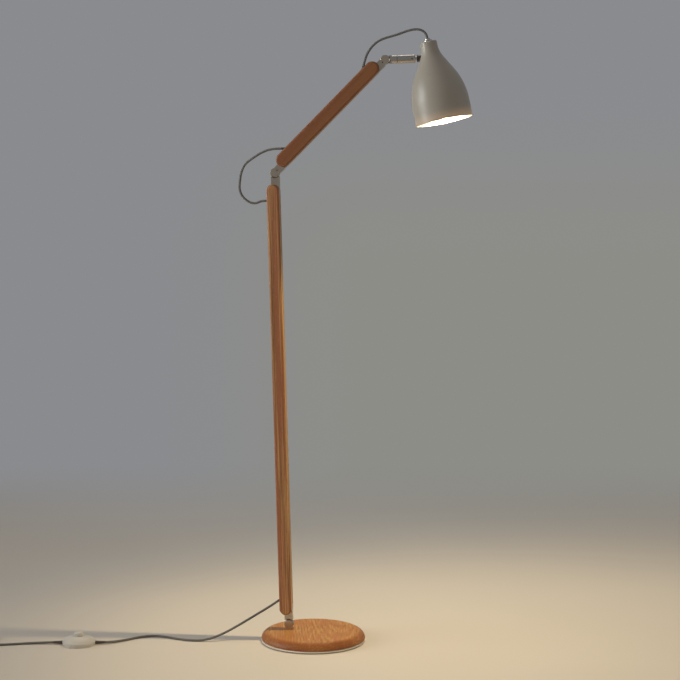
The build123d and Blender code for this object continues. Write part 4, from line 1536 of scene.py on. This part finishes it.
@dataclass
class OakBar:
    """One oak bar of the stand with its strip, its pins and the grommets in its back.

    Attributes:
        finishes: The lamp's finishes.
        body: The body that the bar is.
        direction: Direction along the bar.
        oak: The bar's own oak.
        exits: Where the flex leaves the bar.
        flex_radius: Radius of the flex in metres.
        lip: Radius of a grommet's lip in metres.
        clear: Distance between a grommet's lip and the flex.
        lip_steps: Steps round a grommet.
        lip_sides: Corners of its lip's section.
    """

    finishes: Finishes
    body: Body
    direction: Vector
    oak: Oak
    exits: tuple[FlexExit, ...]
    flex_radius: float = 2.6 * MM
    lip: float = 1.1 * MM
    clear: float = 0.15 * MM
    lip_steps: int = 40
    lip_sides: int = 12

    def grommet(self, leaving: FlexExit) -> None:
        """Seat an oval grommet round the flex, half sunk in the oak.

        Args:
            leaving: The hole that it sits in.
        """
        back = Vector((-self.direction.z, 0, self.direction.x))
        slope = abs(Vector(leaving.heading).normalized().dot(back))
        margin = self.lip + self.clear
        long_axis = self.direction * (self.flex_radius / slope + margin)
        short_axis = Vector((0, 1, 0)) * (self.flex_radius + margin)
        place = Vector(leaving.place) * MM
        mesh = ring_mesh(place, long_axis, short_axis, self.lip, self.lip_steps, self.lip_sides)
        piece = new_piece(leaving.name, mesh, self.finishes.grommet)
        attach(piece, self.body.value)

    def build(self) -> None:
        """Dress the bar's nodes and seat its grommets."""
        prefix = self.body.value
        dress_nodes(self.oak, f"{prefix}_oak")
        dress_nodes(self.finishes.strip, f"{prefix}_cover_strip")
        dress_nodes(self.finishes.zinc, f"{prefix}_pins")
        dress_nodes(self.finishes.braid, f"{prefix}_flex")
        for leaving in self.exits:
            self.grommet(leaving)


@dataclass
class Post(OakBar):
    """Bar between the base's knuckle and the elbow."""

    body: Body = Body.POST
    direction: Vector = POST_DIR
    oak: Oak = Oak(
        "post_oak",
        grain=POST_DIR,
        across=Vector((1, 0, 0)),
        heart=BASE_PIVOT - Vector((0.085, 0.022, 0)),
        pale=linear(216, 164, 107),
        dark=linear(130, 83, 48),
        red=linear(168, 104, 69),
        streaks=330.0,
        contrast=1.5,
    )
    exits: tuple[FlexExit, ...] = (
        FlexExit("grommet_mains", (-74.89, 0, 88.95), (-0.8028, 0, -0.5962)),
        FlexExit("grommet_post_loop", (-99.47, 0, 969.1), (-0.9996, 0, -0.0279)),
    )


@dataclass
class Arm(OakBar):
    """Bar between the elbow and the head's knuckle."""

    body: Body = Body.ARM
    direction: Vector = ARM_DIR
    # The arm's oak is a darker copy of the post's: painted shade for the dimmer light on the upper bar.
    oak: Oak = Oak(
        "arm_oak",
        grain=ARM_DIR,
        across=Vector((1, 0, -1)),
        heart=ELBOW_PIVOT + Vector((0.06, 0.02, -0.06)),
        pale=linear(156, 101, 59),
        dark=linear(120, 75, 42),
        red=linear(142, 85, 51),
    )
    exits: tuple[FlexExit, ...] = (
        FlexExit("grommet_arm_low", (-60.75, 0, 1081.48), (-1, 0, 0.0017)),
        FlexExit("grommet_arm_high", (109.46, 0, 1251.1), (0.2267, 0, 0.974)),
    )


@dataclass
class Knuckles:
    """Fittings of the knuckles, with the bolts, washers and set screws of the upper two.

    Attributes:
        finishes: The lamp's finishes.
    """

    finishes: Finishes

    def build(self) -> None:
        """Dress the knuckles' fittings and the small parts of the two upper ones."""
        dress_nodes(self.finishes.nickel, "post_foot_fitting")
        dress_nodes(self.finishes.knuckle, "post_head_fitting", "arm_foot_fitting", "arm_head_fitting")
        dress_nodes(self.finishes.zinc, "elbow_pivot_bolt", "head_pivot_bolt")
        dress_nodes(self.finishes.washer, "elbow_friction_washer", "head_friction_washer")
        dress_nodes(self.finishes.black_steel, "elbow_set_screw", "head_set_screw")


@dataclass
class Head:
    """Swivel rod, bell shade, lampholder and lamp.

    Attributes:
        finishes: The lamp's finishes.
        top: Centre of the shade's top in metres.
        axis: Direction down the shade's axis.
        ring_start: Where the holder's ring starts below the top, in metres.
        ring_height: Height of the ring.
        holder_radius: Radius of the lampholder.
        ring_wall: How far the ring stands proud of the holder.
        ring_clear: Distance between the ring and the holder.
        ring_edge: Width of the ring's bevelled edges.
        ring_knurl: Depth of its knurl.
        ring_steps: Steps round the ring, four for each tooth of the knurl.
        glow_start: Where the lamp's envelope starts below the top.
        beam_start: Where the lamp's light leaves, just under its envelope.
        beam_aside: How far off the axis its middle lies, towards the shade's back.
    """

    finishes: Finishes
    top: Vector = field(default_factory=lambda: Vector((0.248733, 0.001072, 1.305871)))
    axis: Vector = field(default_factory=lambda: Vector((0.213015, -0.030885, -0.976561)))
    ring_start: float = 78.0 * MM
    ring_height: float = 9.0 * MM
    holder_radius: float = 19.0 * MM
    ring_wall: float = 2.6 * MM
    ring_clear: float = 0.05 * MM
    ring_edge: float = 0.6 * MM
    ring_knurl: float = 0.5 * MM
    ring_steps: int = 144
    glow_start: float = 97.0 * MM
    beam_start: float = 152.0 * MM
    beam_aside: Vector = field(default_factory=lambda: Vector((0, 36.0 * MM, 0)))

    def holder_ring(self) -> None:
        """Turn the knurled ring that is screwed on the lampholder."""
        inner = self.holder_radius + self.ring_clear
        outer = self.holder_radius + self.ring_wall
        bevel = outer - self.ring_edge
        low, high = self.ring_edge, self.ring_height - self.ring_edge
        outline = ((0.0, inner), (0.0, bevel), (low, outer), (high, outer))
        profile = (*outline, (self.ring_height, bevel), (self.ring_height, inner))
        start = self.top + self.axis * self.ring_start
        mesh = lathe_mesh(start, self.axis, profile, self.ring_steps, self.ring_knurl)
        piece = new_piece("holder_ring", mesh, self.finishes.holder, smooth=False)
        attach(piece, Body.HEAD.value)

    def build(self) -> None:
        """Dress the head's nodes and add the lampholder's ring."""
        dress_nodes(self.finishes.rod, "head_bracket", "swivel_rod", "cord_grip")
        dress_nodes(self.finishes.saddle, "shade_saddle")
        dress_nodes(self.finishes.black_steel, "rod_set_screw")
        dress_nodes(self.finishes.zinc, "stud_nut", "nipple", "nipple_nut", "inner_saddle")
        dress_nodes(self.finishes.holder, "lampholder_cap", "lampholder_body")
        dress_nodes(self.finishes.cap, "lamp_cap")
        dress_nodes(self.finishes.braid, "holder_flex")
        dress_nodes(ShadePaint("shade_paint", self.top, self.axis), "shade")
        neck = self.top + self.axis * self.glow_start
        dress_nodes(OpalLamp("opal_lamp", neck, self.axis), "lamp_globe")
        self.holder_ring()
        leaving = self.top + self.axis * self.beam_start + self.beam_aside
        LampBeam("lamp_beam", leaving, self.axis).hang()


@dataclass
class StrainRelief:
    """Tapered, ribbed sleeve that keeps the flex from kinking where it goes into a housing.

    Attributes:
        name: The piece's name.
        finish: Its finish.
        length: Its length in metres.
        root: Radius at the housing.
        tip: Radius at its free end.
        ribs: Number of its ribs.
        groove: Depth between the ribs.
        plain_from: Share of the length beyond which it is plain.
        steepness: How steep the ribs' sides are.
        step: Distance between its rings of corners.
        sides: Corners of its section.
    """

    name: str
    finish: Finish
    length: float = 22.0 * MM
    root: float = 3.9 * MM
    tip: float = 2.9 * MM
    ribs: int = 6
    groove: float = 0.4 * MM
    plain_from: float = 0.97
    steepness: float = 1.7
    step: float = 0.25 * MM
    sides: int = 24

    def radius(self, run: float) -> float:
        """Give the sleeve's radius.

        Args:
            run: Length from the housing in metres.

        Returns:
            The radius there in metres.
        """
        share = min(run / self.length, 1.0)
        taper = self.root + (self.tip - self.root) * share
        if share >= self.plain_from:
            return taper
        wave = 0.5 - 0.5 * math.cos(2 * math.pi * self.ribs * share)
        return taper - self.groove * min(1.0, self.steepness * wave)

    def build(self, line: Sequence[Vector]) -> bpy.types.Object:
        """Sweep the sleeve along the flex.

        Args:
            line: The flex's line, from inside the housing outwards.

        Returns:
            The sleeve, riding on the base.
        """
        points = even_line(line, self.length, self.step)
        mesh = tube_mesh(points, self.radius, self.sides)
        piece = new_piece(self.name, mesh, self.finish)
        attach(piece, Body.BASE.value)
        return piece


@dataclass
class FootSwitch:
    """Round foot switch on the mains flex, with a sleeve on each side.

    Attributes:
        finishes: The lamp's finishes.
        wall: Distance from the flex's end inside the cover to the cover's face, in metres.
    """

    finishes: Finishes
    wall: float = 1.6 * MM

    def build(self, lead: FlexRun, tail: FlexRun) -> list[bpy.types.Object]:
        """Dress the switch and add its sleeves.

        Args:
            lead: The flex from the lamp.
            tail: The flex to the plug.

        Returns:
            The two sleeves.
        """
        dress_nodes(self.finishes.switch, "switch_cover", "switch_button")
        dress_nodes(self.finishes.inner, "switch_base", "switch_module")
        sleeves = []
        for name, line in (("switch_relief_lamp", lead.line[::-1]), ("switch_relief_plug", tail.line)):
            heading = (line[1] - line[0]).normalized()
            outside = [line[0] + heading * self.wall, *line[1:]]
            sleeves.append(StrainRelief(name, self.finishes.sleeve).build(outside))
        return sleeves


@dataclass
class MainsPlug:
    """Two-pin plug, the tie round the put-away flex and the plug's sleeve.

    Attributes:
        finishes: The lamp's finishes.
    """

    finishes: Finishes

    def build(self, tail: FlexRun) -> list[bpy.types.Object]:
        """Dress the plug and add its sleeve.

        Args:
            tail: The flex that ends in the plug.

        Returns:
            The sleeve.
        """
        dress_nodes(self.finishes.plug, "plug_body")
        dress_nodes(self.finishes.zinc, "plug_pins")
        dress_nodes(self.finishes.washer, "coil_tie")
        sleeve = StrainRelief(
            "plug_relief",
            self.finishes.plug,
            length=24.0 * MM,
            root=5.2 * MM,
            tip=3.2 * MM,
            groove=0.6 * MM,
        )
        return [sleeve.build(tail.line[::-1])]


def main() -> None:
    """Build the lamp's looks in order."""
    logging.basicConfig(level=logging.INFO, format="%(name)s: %(message)s")
    Studio().build()
    finishes = Finishes()
    flex = Flex(finishes)
    flex.build()
    RoundBase(finishes).build()
    Post(finishes).build()
    Arm(finishes).build()
    Knuckles(finishes).build()
    Head(finishes).build()
    tail = flex.runs[Stretch.TAIL]
    switch_sleeves = FootSwitch(finishes).build(flex.runs[Stretch.LEAD], tail)
    plug_sleeves = MainsPlug(finishes).build(tail)
    flex.declare(switch_sleeves, plug_sleeves)


if __name__ == "__main__":
    main()
